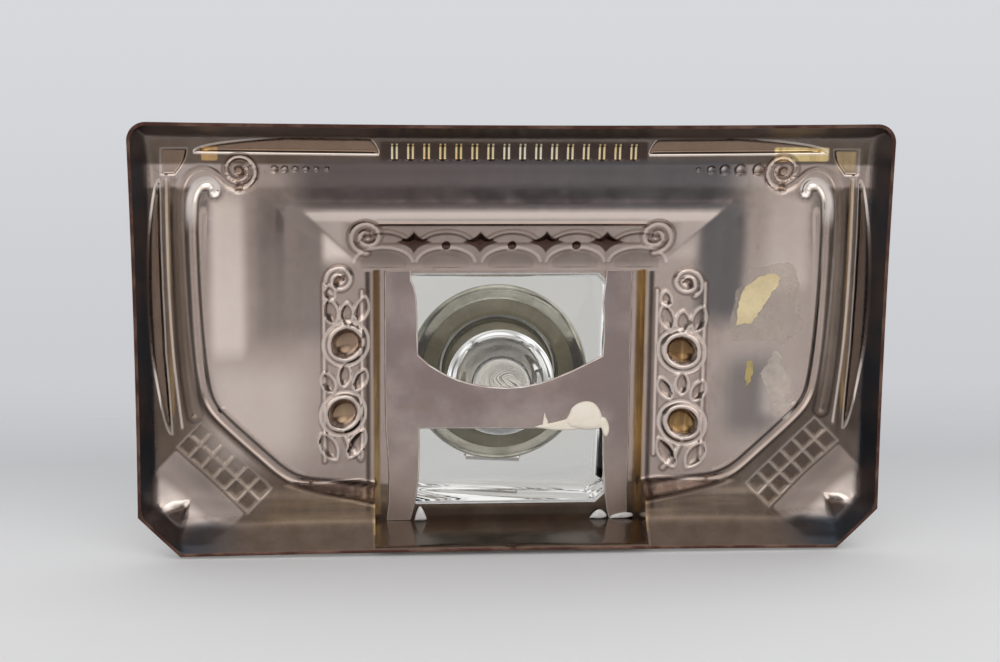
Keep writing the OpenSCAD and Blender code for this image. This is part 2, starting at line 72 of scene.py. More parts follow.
SHEET = 0.8
HALF_W = tray_high[0]
HALF_D = tray_high[1]
PLINTH_H = tray_high[2] - SHEET
CORNER_R = 5.5
CHAMFER = 12.0
RIM_FOOT = 0.94
RIM_IN = 4.3
REAR_WALL_IN = 7.4
RIM_H = 7.0
BAND_IN = 13.0
BAND_H = 8.3
BORDER_IN = 19.0
BORDER_H = 9.6
FIELD_IN = 21.5
FIELD_H = 10.0

PLINTH_HALF = 40.0
PLINTH_FRONT = -17.9
PLINTH_REAR = 61.1
REAR_LEAN = 1.3
LEDGE_HALF = 43.0
LEDGE_FRONT = -19.4
LEDGE_REAR = 45.6
RAMP_H = 18.5
SIDE_SLOPE = 8.5 / 20.5
FRONT_SLOPE = 8.5 / 15.8
REAR_SLOPE = 2.6

GLASS_X = (glass_low[0] + glass_high[0]) / 2
GLASS_Y = (glass_low[1] + glass_high[1]) / 2
GLASS_HALF_W = (glass_high[0] - glass_low[0]) / 2
GLASS_HALF_D = (glass_high[1] - glass_low[1]) / 2
GLASS_GAP = 0.5
GLASS_CORNER = 3.5
HOLE_HALF_W = GLASS_HALF_W + GLASS_GAP
HOLE_HALF_D = GLASS_HALF_D + GLASS_GAP
COLLAR_FOOT = glass_high[2] - 5.0 + 0.05


# ---------------------------------------------------------------- fields of numbers


def smooth_min(a, b, k):
    h = np.clip(k - np.abs(a - b), 0, None) / k
    return np.minimum(a, b) - h * h * k / 4


def smooth_max(a, b, k):
    return -smooth_min(-a, -b, k)


def step(edge0, edge1, v):
    """Smooth step from 0 at edge0 to 1 at edge1."""
    t = np.clip((v - edge0) / (edge1 - edge0), 0, 1)
    return t * t * (3 - 2 * t)


def span(v, start, full, fade, end):
    """Soft window: 0 up to start, 1 from full to fade, and 0 again from end on."""
    return step(start, full, v) * step(end, fade, v)


def bump(d, w):
    """Round bump: 1 where d is 0, and 0 from d = w on."""
    t = np.clip(np.abs(d) / w, 0, 1)
    return (1 - t * t) ** 2


def strongest(*fields):
    """Highest of several fields at each place."""
    return np.maximum.reduce(fields)


def line_distance(x, y, points):
    """Distance to a polyline, and the share of its length at the nearest place."""
    best, share = np.full(x.shape, 1e9), np.zeros(x.shape)
    lengths = [math.dist(a, b) for a, b in zip(points, points[1:])]
    done = 0.0
    for (ax, ay), (bx, by), length in zip(points, points[1:], lengths):
        t = ((x - ax) * (bx - ax) + (y - ay) * (by - ay)) / max(length * length, 1e-9)
        t = np.clip(t, 0, 1)
        d = np.hypot(x - ax - t * (bx - ax), y - ay - t * (by - ay))
        nearer = d < best
        best = np.where(nearer, d, best)
        share = np.where(nearer, (done + t * length) / sum(lengths), share)
        done += length
    return best, share


def smooth_path(points, rounds=2):
    """The same path with its corners rounded by repeated cutting."""
    for _ in range(rounds):
        cuts = [points[0]]
        for (ax, ay), (bx, by) in zip(points, points[1:]):
            cuts += [(ax + (bx - ax) * t, ay + (by - ay) * t) for t in (0.25, 0.75)]
        points = cuts + [points[-1]]
    return points


def arc(cx, cy, rx, ry, start, end, steps=14):
    """Points of an elliptical arc; 180 to 360 is its front half."""
    angles = np.radians(np.linspace(start, end, steps + 1))
    return [(cx + rx * math.cos(a), cy + ry * math.sin(a)) for a in angles]


def spiral(cx, cy, r_out, r_in, turns, start, way):
    """Points of a spiral that winds in from r_out to r_in; way is 1 or -1."""
    points = []
    for t in np.linspace(0, 1, int(26 * turns) + 1):
        a = math.radians(start) + way * t * turns * 2 * math.pi
        r = r_out + (r_in - r_out) * t
        points.append((cx + r * math.cos(a), cy + r * math.sin(a)))
    return points


class Relief:
    """Heights of strokes, rings, leaves and domes, each added within its own window.

    Besides height, it keeps the distances to the nearest thin dark line (seam) and to the nearest thin
    painted highlight.
    """

    def __init__(self, x, y):
        self.x, self.y = x, y
        self.height = np.zeros(x.shape)
        self.seam = np.full(x.shape, 3.0)
        self.highlight_line = np.full(x.shape, 3.0)

    def window(self, points, reach):
        """Places within reach of the box round some points."""
        (x0, y0), (x1, y1) = np.min(points, 0) - reach, np.max(points, 0) + reach
        return (self.x >= x0) & (self.x <= x1) & (self.y >= y0) & (self.y <= y1)

    def around(self, cx, cy, reach):
        w = self.window([(cx, cy)], reach)
        return w, self.x[w] - cx, self.y[w] - cy

    def mark(self, w, seam, highlight_line):
        self.seam[w] = np.minimum(self.seam[w], seam)
        self.highlight_line[w] = np.minimum(self.highlight_line[w], highlight_line)

    def stroke(self, points, width, lift, taper=(1, 1), seam=math.inf, highlight_line=math.inf):
        """Round ridge along a path; taper gives its share of width at the two ends.

        The last two set a thin dark line and a thin painted highlight that far from the path, on both sides.
        """
        w = self.window(points, width + 1.2)
        d, share = line_distance(self.x[w], self.y[w], points)
        self.height[w] += lift * bump(d, width * (taper[0] + (taper[1] - taper[0]) * share))
        self.mark(w, np.abs(d - seam), np.abs(d - highlight_line))

    def dome(self, cx, cy, r, lift):
        w, dx, dy = self.around(cx, cy, r)
        self.height[w] += lift * np.sqrt(np.clip(1 - (np.hypot(dx, dy) / r) ** 2, 0, 1))

    def ring(self, cx, cy, r, width, lift):
        w, dx, dy = self.around(cx, cy, r + width)
        d = np.hypot(dx, dy) - r
        self.height[w] += lift * bump(d, width)
        self.mark(w, np.abs(np.abs(d) - width) + 0.1, np.abs(d) - 0.15)

    def leaf(self, cx, cy, length, width, angle):
        """Pointed oval, raised inside and with a fine groove round its edge."""
        w, dx, dy = self.around(cx, cy, length / 2 + 1)
        c, s = math.cos(math.radians(angle)), math.sin(math.radians(angle))
        r = (length * length + width * width) / (4 * width)
        inside = r - np.hypot(dx * c + dy * s, np.abs(dy * c - dx * s) + r - width / 2)
        self.height[w] += 0.6 * step(0, width * 0.42, inside) - 0.35 * bump(inside + 0.15, 0.55)
        self.mark(w, np.abs(inside - 0.65) + 0.1, np.abs(inside + 0.1))


# ---------------------------------------------------------------- the stamped sheet's form


def profile(insets, heights, radius):
    """Height against inset with its corners rounded; the first slope runs on past the foot."""
    pitch = 0.05
    reach = np.arange(-12, insets[-1] + 5, pitch)
    line = np.interp(reach, insets, heights)
    slope = (heights[1] - heights[0]) / (insets[1] - insets[0])
    line = np.where(reach < insets[0], heights[0] + slope * (reach - insets[0]), line)
    margin = round(3 * radius / pitch)
    kernel = np.exp(-0.5 * (np.arange(-margin, margin + 1) * pitch / radius) ** 2)
    rounded = np.convolve(np.pad(line, margin, "edge"), kernel / kernel.sum(), "valid")
    foot = np.interp(insets[0], reach, rounded)
    return lambda v: np.interp(v, reach, rounded) - foot * np.clip(1 - (v - insets[0]) / 3, 0, 1)


def pan_height(x, y, e):
    """Rim wall, border and pen field, as the lowest of four profiles: side, front, rear and cut corner."""
    side, front, rear = HALF_W - np.abs(x), y + HALF_D, HALF_D - y
    foot = 0.0 if e else RIM_FOOT
    heights = [0, RIM_H + e, BAND_H + e, BORDER_H + e, FIELD_H + e]
    across = profile([foot, RIM_IN + 0.4 - e / 2, BAND_IN, BORDER_IN, FIELD_IN], heights, 0.7)
    ahead = profile([foot, RIM_IN - e / 2, BAND_IN, BORDER_IN - 2, FIELD_IN - 2], heights, 0.6)
    behind = profile([foot, REAR_WALL_IN - e / 2, BAND_IN + 1, BORDER_IN, FIELD_IN], heights, 0.9)
    across_cut = profile([CHAMFER + foot * math.sqrt(2), 18.08 - e, 46, 60, 65], heights, 0.7)
    h = smooth_min(across(side), ahead(front), 1.6)
    h = smooth_min(h, behind(rear), 1.2)
    return smooth_min(h, across_cut(side + rear), 2.0) + 0.6 * step(BAND_H, FIELD_H - 0.5, h)


def slanted(ax, y):
    """Depth measured along the ramp's rear end, which runs forward towards the sides."""
    return y + 0.21 * (ax - 41)


def ramp_height(x, y, e):
    side = RAMP_H - (np.abs(x) - LEDGE_HALF) * SIDE_SLOPE
    front = RAMP_H - (LEDGE_FRONT - y) * FRONT_SLOPE
    rear = RAMP_H - (slanted(np.abs(x), y) - LEDGE_REAR) * REAR_SLOPE
    h = smooth_min(smooth_min(side, front, 1.2), rear, 1.6)
    return smooth_min(h, np.full(x.shape, RAMP_H), 0.8) + e


def in_plinth(x, y, e):
    return (np.abs(x) < PLINTH_HALF + e) & (y > PLINTH_FRONT - e)


def plinth_height(x, y, e):
    rear = (PLINTH_REAR + e - y) / REAR_LEAN * PLINTH_H
    return np.where(in_plinth(x, y, e), np.minimum(PLINTH_H + e, rear), -50)


# ---------------------------------------------------------------- ornament, right side; left is its mirror

# The narrow bead next to the field, from its hooked end by the volute, along the side and to the plinth.
BEAD = [(84.9, -41.9), (84.7, -43.4), (86.3, -45.0), (89.0, -44.4), (91.0, -41.5), (91.6, -37)]
BEAD += [(91.4, -20), (91.0, -8), (90.2, 5), (89.0, 15), (87.8, 19), (85.6, 22.6)]
BEAD += [(80, 28.2), (73, 34.8), (66.8, 40.6), (61.5, 43.6), (50, 46.4), (41.2, 47.8)]
# Grooves on its inner side.
BEAD_GROOVE = [(88.2, -36), (89.2, -20), (88.8, -8), (88.0, 5), (86.9, 15), (84.0, 21)]
BEAD_GROOVE_END = [(84.0, 21), (78.6, 26.2), (65.4, 38.8), (60.4, 41.6)]
# The wide bead outside it, which swings over to the volute.
BAND = [(78.4, -43.0), (81.6, -44.2), (83.6, -46.6), (85.8, -48.6), (88.7, -49.0), (92.0, -47.4), (94.0, -44)]
BAND += [(94.8, -38.8), (94.9, -27), (94.6, -14), (94.2, 0), (93.3, 12), (92.4, 19), (91.8, 22.5)]
REED = [(98.2, -46), (98.4, -30), (98.3, -14), (97.6, 4), (96.4, 17), (95.4, 26)]
PANEL_INNER = [(99.9, -46), (100.1, -30), (100.0, -14), (99.6, 4), (98.8, 17), (98.3, 28)]
VOLUTE = (78.0, -48.2)
PEARL_Y = -48.6
# (distance from the middle, radius) of the pearls on the right (1) and on the left (-1)
PEARLS = {
    1: ((53.1, 0.85), (56.8, 1.35), (60.8, 1.65), (65.4, 1.85), (70.6, 1.9)),
    -1: ((53.2, 0.85), (56.2, 0.9), (59.1, 1.0), (62.1, 1.1), (65.0, 1.2), (68.0, 1.25)),
}
FLUTES = 16
FLUTE_PITCH = 4.55
LATTICE = (83.6, 38.2)
LATTICE_HALF_LENGTH = 14.2
LATTICE_HALF_WIDTH = 4.9
LATTICE_CELLS = 6
STARS = (-28.4, -9.2, 10.1, 27.7)
DOTS = (-19.1, 0.1, 18.9)
ARCS = (-37.3, *DOTS, 37.3)
# (side, middle of the spiral, middles of the two ring flowers, how gilt they are, far edge)
FLOWER_BANDS = (
    (-1, (-50.0, -15.6), ((-48.2, 3.2), (-49.2, 24.1)), (0.45, 0.5), 54.6),
    (1, (51.9, -14.7), ((50.8, 5.8), (51.5, 27.5)), (0.9, 1.0), 56.9),
)


def side_panel(ax, y):
    """Inside distance of the boat-shaped side panel: a straight inner edge and a bowed outer one."""
    t = (y + 46) / 74
    inner = np.interp(y, [p[1] for p in PANEL_INNER], [p[0] for p in PANEL_INNER])
    wide = 4.2 * np.sin(np.pi * np.clip(t, 0, 1)) ** 0.5
    return np.where((t > 0) & (t < 1), np.minimum(ax - inner, inner + wide - ax), -2)


def front_panel(ax, y):
    """Inside distance of the long front panel, from the fluted band to the corner square."""
    start, end = 38.4, 90.5
    t = (ax - start) / (end - start)
    inner = -52.9 - 0.5 * np.clip(t, 0, 1)
    wide = 4.9 * np.clip(np.clip(t, 0, 1) / 0.05, 0, 1) ** 0.5 * np.clip((1 - t) / 0.5, 0, 1) ** 0.45
    return np.where((t > 0) & (t < 1), np.minimum(inner - y, y - inner + wide), -2)


def corner_square(ax, y):
    """Inside distance of the small goblet-shaped recess in each front corner."""
    front, rear = -54.6, -47.0
    t = np.clip((y - front) / 7, 0, 1)
    return np.minimum.reduce([ax - 92.2 - 3.2 * t * t, 99.4 + 0.2 * t - ax, y - front, rear - y])


def fluted_band(x, y):
    phase = (x / FLUTE_PITCH + FLUTES / 2) % 1 - 0.5
    half = FLUTES * FLUTE_PITCH / 2
    within = span(y, -55.9, -55.2, -51.7, -51.1) * step(half + 0.3, half - 0.2, np.abs(x))
    return 0.95 * within * np.sqrt(np.clip(1 - (phase / 0.36) ** 2, 0, 1))


def lattice_distances(ax, y):
    """Inside distance of the lattice on the rear diagonal, and distance to its cells' shared edges."""
    dx, dy = ax - LATTICE[0], y - LATTICE[1]
    u, v = (dx - dy) / math.sqrt(2), np.abs(dx + dy) / math.sqrt(2)
    pitch = 2 * LATTICE_HALF_LENGTH / LATTICE_CELLS
    to_edge = pitch / 2 - np.abs((u / pitch) % 1 - 0.5) * pitch
    return np.minimum(LATTICE_HALF_LENGTH - np.abs(u), LATTICE_HALF_WIDTH - v), np.minimum(to_edge, v)


def from_cut(ax, y):
    """Distance along the cut-off rear corner from its middle, and distance in from it."""
    side, rear = HALF_W - ax, HALF_D - y
    return np.abs(side - rear) / math.sqrt(2), (side + rear - CHAMFER) / math.sqrt(2)


def shell_boss(ax, y):
    """Rounded boss in the rear corner: two lobes with a sharp notch that points in from the cut edge."""
    u, v = from_cut(ax, y)
    back = np.clip(1 - np.hypot(u / 14.5, (v - 19.5) / 17.0) ** 2, 0, 1)
    lobes = bump(np.hypot(u - 6.2, (v - 8.0) * 0.9), 8.5)
    notch = step(-0.4, 2.8, u - 0.45 * np.clip(9.6 - v, 0, None)) + step(7.5, 13.0, v)
    return step(21.5, 10.5, v) * np.clip(notch, 0, 1) * (2.3 * back + 1.0 * lobes)


def star_field(x, y):
    """Four-pointed stars and dots of the frieze: below 1 inside them."""
    stars = [(np.abs(x - cx) / 7.6) ** 0.6 + (np.abs(y + 26.9) / 4.5) ** 0.6 for cx in STARS]
    dots = [np.hypot(x - cx, y + 25.8) / 1.4 for cx in DOTS]
    return np.minimum(3.0, np.minimum.reduce(stars + dots))


def arcade(x, y, rx, ry):
    """Half ovals behind the frieze's arcs: above 0 inside them."""
    across = np.minimum.reduce([np.abs(x - cx) for cx in ARCS])
    return 1 - (across / rx) ** 2 - ((y + 20.0) / ry) ** 2


def border_lines(relief, side):
    """Beads, reed, volute and pearls of one side."""

    def stroke(points, *form, **lines):
        relief.stroke([(side * x, y) for x, y in smooth_path(points)], *form, **lines)

    stroke(BEAD, 1.25, 0.65, (1.2, 1))
    stroke(BEAD_GROOVE, 1.1, -0.35)
    stroke(BEAD_GROOVE_END, 1.1, -0.3, (1, 0.3))
    stroke(BAND, 1.9, 0.6, (0.75, 0.5))
    stroke(REED, 1.2, 0.4, (0.8, 0.8), highlight_line=0.0)
    cx, cy = side * VOLUTE[0], VOLUTE[1]
    relief.stroke(spiral(cx, cy, 5.1, 2.2, 1.35, 90, side), 1.25, 1.0, (1.1, 0.6), 1.12, 0.1)
    relief.dome(cx, cy, 1.5, 1.2)
    for px, r in PEARLS[side]:
        relief.dome(side * px, PEARL_Y, r, 0.9 * r**0.5)


def frieze(relief):
    """Stars, dots and arcs on the front of the ramp, with a spiral at each end."""
    relief.height += 0.8 * step(1.0, 0.4, star_field(relief.x, relief.y))
    relief.height += 0.2 * step(0, 0.9, arcade(relief.x, relief.y, 7.9, 4.4)) * (relief.y < -19.0)
    relief.stroke([(-38, -26.5), (38, -26.5)], 0.7, -0.12, seam=0.05)
    for cx in ARCS:
        relief.stroke(arc(cx, -25.0, 8.3, 5.2, 205, 335), 0.9, -0.25, seam=0.7)
        relief.stroke(arc(cx, -20.3, 8.6, 5.0, 186, 354), 1.2, -0.18, highlight_line=0.1)
    for side in (-1, 1):
        relief.stroke(spiral(side * 42.0, -28.8, 5.2, 1.2, 1.6, 90, -side), 1.1, 0.5, (1, 0.7), 1.22, 0.1)
        relief.dome(side * 42.0, -28.8, 1.2, 0.8)
    relief.stroke([(-39.5, -33.4), (39.5, -33.4)], 0.55, 0.35)
    relief.stroke([(-39.5, -32.6), (39.5, -32.6)], 0.6, -0.35, seam=0.1)


def flower_band(relief, side, curl, flowers, far):
    """Spiral, two ring flowers and their leaves on one side of the ramp, between two thin lines."""
    relief.stroke(spiral(*curl, 4.4, 1.0, 1.8, 90 - 30 * side, -side), 1.0, -0.45, (1, 0.8), 0.95, 0.1)
    relief.dome(*curl, 1.3, 0.9)
    for fx, fy in flowers:
        relief.ring(fx, fy, 4.9, 1.2, -0.6)
        relief.dome(fx, fy, 3.9, 1.6)
        relief.ring(fx, fy, 6.6, 0.7, 0.2)
    (ax, ay), (bx, by) = flowers
    relief.leaf(ax - 4.6, ay - 15.2, 4.6, 3.0, 84)
    relief.leaf(ax - 4.3, ay - 9.7, 7.8, 3.9, 76)
    relief.leaf(ax + 0.2, ay - 8.7, 6.6, 3.8, 92)
    relief.leaf(ax + 4.6, ay - 9.7, 8.0, 3.7, 106)
    for dx, angle in ((-4.7, 64), (0, 92), (4.6, 116)):
        relief.leaf((ax + bx) / 2 + dx, (ay + by) / 2 + 0.4 * abs(dx) - 0.9, 7.0, 3.6, angle)
    relief.leaf(bx - 4.3, by + 9.7, 9.6, 4.4, 62)
    relief.leaf(bx + 3.9, by + 9.7, 9.2, 4.4, 120)
    stem = [(bx, by + 5.2), (bx - side * 2.2, by + 11), (bx - side * 5.2, by + 14.5)]
    relief.stroke(stem, 0.9, -0.3, (0.7, 0.6), 0.95, 0.1)
    relief.stroke([(side * far, -15), (side * far, 38)], 0.6, -0.3, seam=0.75, highlight_line=0.0)
    relief.stroke([(side * 43.6, -12), (side * 43.6, 38)], 0.6, -0.3, seam=0.7, highlight_line=0.0)


def relief_height(x, y):
    """All ornament of the stamped sheet, positive where the sheet is driven up; bosses come by themselves."""
    ax = np.abs(x)
    relief = Relief(x, y)
    for side, curl, flowers, _, far in FLOWER_BANDS:
        border_lines(relief, side)
        flower_band(relief, side, curl, flowers, far)
    frieze(relief)
    inside, cell_edge = lattice_distances(ax, y)
    lattice = step(-0.3, 0.5, inside) * (0.4 * step(0.25, 0.9, np.minimum(cell_edge, inside)) - 0.05)
    panels = 0.75 * step(-0.1, 1.1, side_panel(ax, y)) + 0.8 * step(-0.1, 1.2, front_panel(ax, y))
    ornament = relief.height + fluted_band(x, y) + lattice + panels + 0.7 * step(0, 0.6, corner_square(ax, y))
    free = ~in_plinth(x, y, SHEET)
    fade = free * step(2.1, 3.9, np.minimum(HALF_W - ax, HALF_D - np.abs(y)))
    seam, highlight_line = [np.where(free, lines, 3.0) for lines in (relief.seam, relief.highlight_line)]
    return ornament * fade, shell_boss(ax, y) * fade, seam, highlight_line


def sheet_height(x, y, e):
    """Height of the underside (e = 0) or of the top side (e = SHEET), its ornament and its drawn lines."""
    ornament, boss, seam, highlight_line = relief_height(x, y)
    h = smooth_max(pan_height(x, y, e), ramp_height(x, y, e), 1.6)
    h += (ornament + boss) * step(60.5, 58.0, y)
    return np.maximum(h, plinth_height(x, y, e)), ornament, seam, highlight_line


# ---------------------------------------------------------------- patina, painted shade and painted highlights of the underside


def sheet_tones(x, y):
    """Patina of the underside, with painted shade and painted highlights, as fields from 0 to 1 or distances
    in millimetres.
    """
    ax = np.abs(x)
    side, front, rear = HALF_W - ax, y + HALF_D, HALF_D - y
    u, v = from_cut(ax, y)
    on_plinth = in_plinth(x, y, SHEET)
    bead = smooth_path(BEAD)
    bead_d, band_d = line_distance(ax, y, bead)[0], line_distance(ax, y, smooth_path(BAND))[0]
    bead_x, bead_y = zip(*[p for p in bead if p[1] > -42])
    outside_bead = ax - np.interp(y, bead_y, bead_x)
    inside, cell_edge = lattice_distances(ax, y)
    cell_edge = np.minimum(cell_edge, np.abs(inside))
    in_lattice = step(-0.4, 0.8, inside + 0.4)

    # Masks of the rear corners' shell boss, its smooth lobes and its notch: the dark patina stays off the
    # boss, the lobes get painted highlights and the notch painted shade.
    boss = span(v, 1.0, 3.4, 19.6, 21) * step(15.0, 12.5, u)
    lobe = span(v, 2.6, 4.6, 9.0, 12.8) * step(13.2, 9.5, u)
    notch = step(1.6, 0.4, u - 0.45 * np.clip(9.8 - v, 0, None)) * step(10.4, 9.4, v)

    dark = strongest(
        step(0.6, 3.4, outside_bead) * step(-45, -42, y),
        step(46.8, 49.5, y),
        step(13.6, 11.0, front),
    )
    on_beads = np.maximum(0.45 * bump(band_d, 2.4), bump(bead_d, 1.5))
    dark = dark * (1 - 0.8 * on_beads) * (1 - 0.85 * boss)
    outer_field = step(95, 97, ax) * span(y, -44, -38, 26, 34) * (1 - bump(ax - 98.4, 1.4))
    tarnish_and_shade = strongest(
        # Painted shade along both sides of the two beads.
        0.9 * bump(bead_d - 1.55, 0.9) * step(-44.5, -41, y),
        0.85 * bump(band_d - 2.15, 1.0) * step(-42, -37, y),
        # Behind the ramp's rear edge.
        0.7 * bump(slanted(ax, y) - 46.4, 1.3) * step(62, 57, ax) * (ax > 40.5),
        # Bed of the flutes.
        0.92 * span(y, -57.6, -56.4, -50.8, -49.8) * step(38.6, 37.6, ax),
        # Beside the plinth's side walls, and its rear end.
        0.8 * bump(ax - 41.9, 1.5) * (y > PLINTH_FRONT),
        0.55 * (ax < 40.6) * step(57.6, 58.8, y),
        # Painted shade in the notch of the shell boss, and a painted shade gradient towards its inner end.
        notch * step(0.6, 1.6, v),
        0.42 * boss * step(10, 19, v),
        # Outer part of the side border, the half ovals of the frieze and the cells of the lattice.
        np.where(x > 0, 0.62, 0.4) * outer_field,
        0.3 * step(0.0, 0.25, arcade(x, y, 7.6, 4.2)) * (y < -18.7) * (ax < 44),
        0.38 * in_lattice * step(0.6, 1.2, cell_edge),
    )
    strip = span(y, -55.8, -54.6, -51.6, -50.6)
    goblet = span(ax, 91.4, 93.6, 98.2, 100) * span(y, -55.4, -53.4, -48.4, -46.4)
    gilt = strongest(
        # Reed, and the ends of the two front panels.
        0.7 * bump(ax - 98.0, 1.6) * span(y, -48, -44, 20, 27),
        strip * span(x, 74, 76, 90, 91.5),
        strip * span(-x, 83, 84.5, 87.5, 89),
        # Side walls of the plinth.
        0.95 * bump(ax - 39.3, 2.0) * (y > PLINTH_FRONT - 0.5) * (y < 58),
        # Lattice, most of all the lines between its cells.
        in_lattice * (0.12 + np.where(x > 0, 0.22, 0.3) * step(0.9, 0.2, cell_edge)),
        # Rear border, rear end of the plinth, and the goblet-shaped corners.
        0.32 * step(45.5, 49, y) * (1 - boss) * ~on_plinth,
        0.35 * on_plinth * step(57.6, 58.8, y),
        np.where(x > 0, 0.45, 0.2) * goblet,
    )
    # Middles of the ring flowers.
    for _, _, flowers, amounts, _ in FLOWER_BANDS:
        for (fx, fy), amount in zip(flowers, amounts):
            gilt = np.maximum(gilt, amount * step(4.1, 3.2, np.hypot(x - fx, y - fy)))

    # Painted glints on the narrow bead's hooked end and on one side of each pearl, with painted shade on each
    # pearl's other side.
    painted_glint = step(2.0, 1.0, bead_d) * step(-30, -38, y)
    for sign, row in PEARLS.items():
        for px, r in row:
            dx, dy = x - sign * px, y - PEARL_Y
            painted_glint = np.maximum(painted_glint, 0.9 * bump(np.hypot(dx + 0.25 * r, dy + 0.3 * r), 0.75 * r))
            tarnish_and_shade = np.maximum(tarnish_and_shade, 0.8 * bump(np.hypot(dx - 0.55 * r, dy - 0.5 * r), 0.95 * r))

    def patch(x0, x1, y0, y1, soft, tall=None):
        """Cloud with soft edges, which are tall along y."""
        tall = tall or soft
        across = span(x, x0 - soft, x0 + soft, x1 - soft, x1 + soft)
        return across * span(y, y0 - tall, y0 + tall, y1 - tall, y1 + tall)

    # Painted shade, as soft clouds of dark reflection, and painted highlights on the smooth field and on the
    # ramp.
    hip = ax - LEDGE_HALF - (LEDGE_FRONT - y)
    beside = step(-0.8, 0.8, np.where(y < LEDGE_FRONT, hip, 5))
    along_hip = step(0.2, 1.5, hip) * step(56, 53, ax)
    shade = strongest(
        # Left field, right field beside the ramp, and the strip in front of the ramp.
        0.5 * patch(-74, -53, -44, 2, 3.2, 6),
        0.85 * patch(54, 67.5, -42, -3, 3.6, 6) * beside,
        0.92 * patch(-64, 66, -51.5, -37.0, 9, 1.3) * (1 - 0.35 * bump(y + 39.4, 1.2)),
    )
    shade = np.maximum(shade * step(1.6, 2.6, bead_d), 0.62 * patch(62, 79, 6, 31, 6))
    painted_highlight = strongest(
        # Painted highlights on both fields, clear of the narrow bead.
        0.8 * patch(-86.5, -77.0, -41, 6, 2.0, 5) * step(2.2, 3.4, bead_d),
        0.5 * patch(74, 87, -42, -14, 3.5) * step(2.2, 3.4, bead_d),
        0.52 * patch(-88, -60, 8, 36, 8) * step(2.0, 3.6, bead_d),
        0.4 * patch(74, 82, 12, 24, 2.5),
        # Painted highlights on the front slope of the ramp and its hips.
        0.8 * span(y, -36.8, -35.9, -34.0, -32.4) * (1 - beside),
        0.5 * step(46, 50, ax) * span(y, -36.8, -35.9, -27, -23) * (1 - beside),
        0.95 * along_hip * span(y, -31, -29, -24, -19) * (x < 0),
        0.3 * along_hip * step(-20, -24, y) * (x > 0),
        # Painted highlights on the lobes of the shell bosses and on the lines of the lattice.
        np.where(x < 0, 0.95, 0.8) * lobe * (1 - notch),
        0.34 * in_lattice * step(0.55, 0.15, cell_edge),
    )
    # Inside distance of the panels, for thin painted highlights along their edges, and below how strong those
    # highlights are in each place.
    panel = np.clip(strongest(side_panel(ax, y), front_panel(ax, y), corner_square(ax, y)), -3, 3)
    ahead = y < -50
    places = [ahead & (ax > 91.5), ahead & (y > -54.5), ahead, ax > 101.5]
    highlight_gain = np.select(places, [0.12, 0.75, 0.4, 0.9], 0.3)
    outside = np.minimum.reduce([side + 0.4, front + 0.2, rear * RIM_IN / REAR_WALL_IN, v + 0.2])
    tones = {"dark": dark, "tarnish_and_shade": tarnish_and_shade, "gilt": gilt, "painted_glint": painted_glint, "shade": shade, "painted_highlight": painted_highlight}
    tones |= {"panel": panel, "highlight_gain": highlight_gain, "rim": np.where(on_plinth, 30, outside)}
    return tones | {"star": star_field(x, y)}


# ---------------------------------------------------------------- the stamped sheet's mesh


def spread(stops):
    """Grid lines of (start, end, pitch) stretches, with both ends of each."""
    out = []
    for start, end, pitch in stops:
        count = max(1, round((end - start) / pitch))
        out += [start + (end - start) * i / count for i in range(count + 1)]
    return out


def clear_of(values, edges, least=0.02):
    """Sorted values without doubles, with the edges in place of the values next to them."""
    out = []
    for v in sorted([v for v in values if min(abs(v - edge) for edge in edges) > 0.2] + list(edges)):
        if not out or v - out[-1] > least:
            out.append(v)
    return np.array(out)


def grid_lines():
    """Lines of the sheet's grid; the plinth's walls and the glass opening have lines of their own."""
    half = spread([(0, 36, 0.5), (36, 39.9, 0.6), (40.9, 60, 0.46), (60, 72, 0.55), (72, 84, 0.5)])
    half += spread([(84, HALF_W, 0.4)])
    half += [PLINTH_HALF, PLINTH_HALF + 0.05, PLINTH_HALF + SHEET, PLINTH_HALF + SHEET + 0.05]
    ys = spread([(-HALF_D, -44, 0.38), (-44, -35, 0.75), (-35, -18.8, 0.46)])
    ys += [PLINTH_FRONT - SHEET - 0.05, PLINTH_FRONT - SHEET, PLINTH_FRONT - 0.05, PLINTH_FRONT]
    ys += spread([(-17.6, 45, 0.5), (45, 59, 0.5), (59, HALF_D, 0.14)])
    hole_x = (GLASS_X - GLASS_HALF_W - GLASS_GAP, GLASS_X + GLASS_HALF_W + GLASS_GAP)
    hole_y = (GLASS_Y - GLASS_HALF_D - GLASS_GAP, GLASS_Y + GLASS_HALF_D + GLASS_GAP)
    return clear_of(half + [-v for v in half], hole_x), clear_of(ys, hole_y)


def outline_snap(p):
    """Puts points of the outer edge on the cut corners and on the rounded front corners."""
    x, y = p[:, 0].copy(), p[:, 1].copy()
    over = np.abs(x) + y - (HALF_W + HALF_D - CHAMFER)
    cut = (over > -0.6) & (np.abs(x) > HALF_W - CHAMFER - 0.4) & (y > HALF_D - CHAMFER - 0.4)
    sign = np.sign(x)
    x = np.where(cut, x - sign * over / 2, x)
    y = np.where(cut, y - over / 2, y)
    cx, cy = HALF_W - CORNER_R, -HALF_D + CORNER_R
    rounded = (np.abs(x) > cx) & (y < cy)
    d = np.hypot(np.abs(x) - cx, y - cy)
    x = np.where(rounded, sign * (cx + (np.abs(x) - cx) * CORNER_R / np.maximum(d, 1e-6)), x)
    y = np.where(rounded, cy + (y - cy) * CORNER_R / np.maximum(d, 1e-6), y)
    return np.stack([x, y], 1)


def hole_snap(p):
    """Puts points of the glass opening's edge on its bevelled corners."""
    x, y = p[:, 0] - GLASS_X, p[:, 1] - GLASS_Y
    over = np.abs(x) + np.abs(y) - (HOLE_HALF_W + HOLE_HALF_D - GLASS_CORNER)
    cut = (over > -0.8) & (np.abs(x) > HOLE_HALF_W - GLASS_CORNER - 0.4)
    cut = cut & (np.abs(y) > HOLE_HALF_D - GLASS_CORNER - 0.4)
    x = np.where(cut, x - np.sign(x) * over / 2, x)
    y = np.where(cut, y - np.sign(y) * over / 2, y)
    return np.stack([x + GLASS_X, y + GLASS_Y], 1)


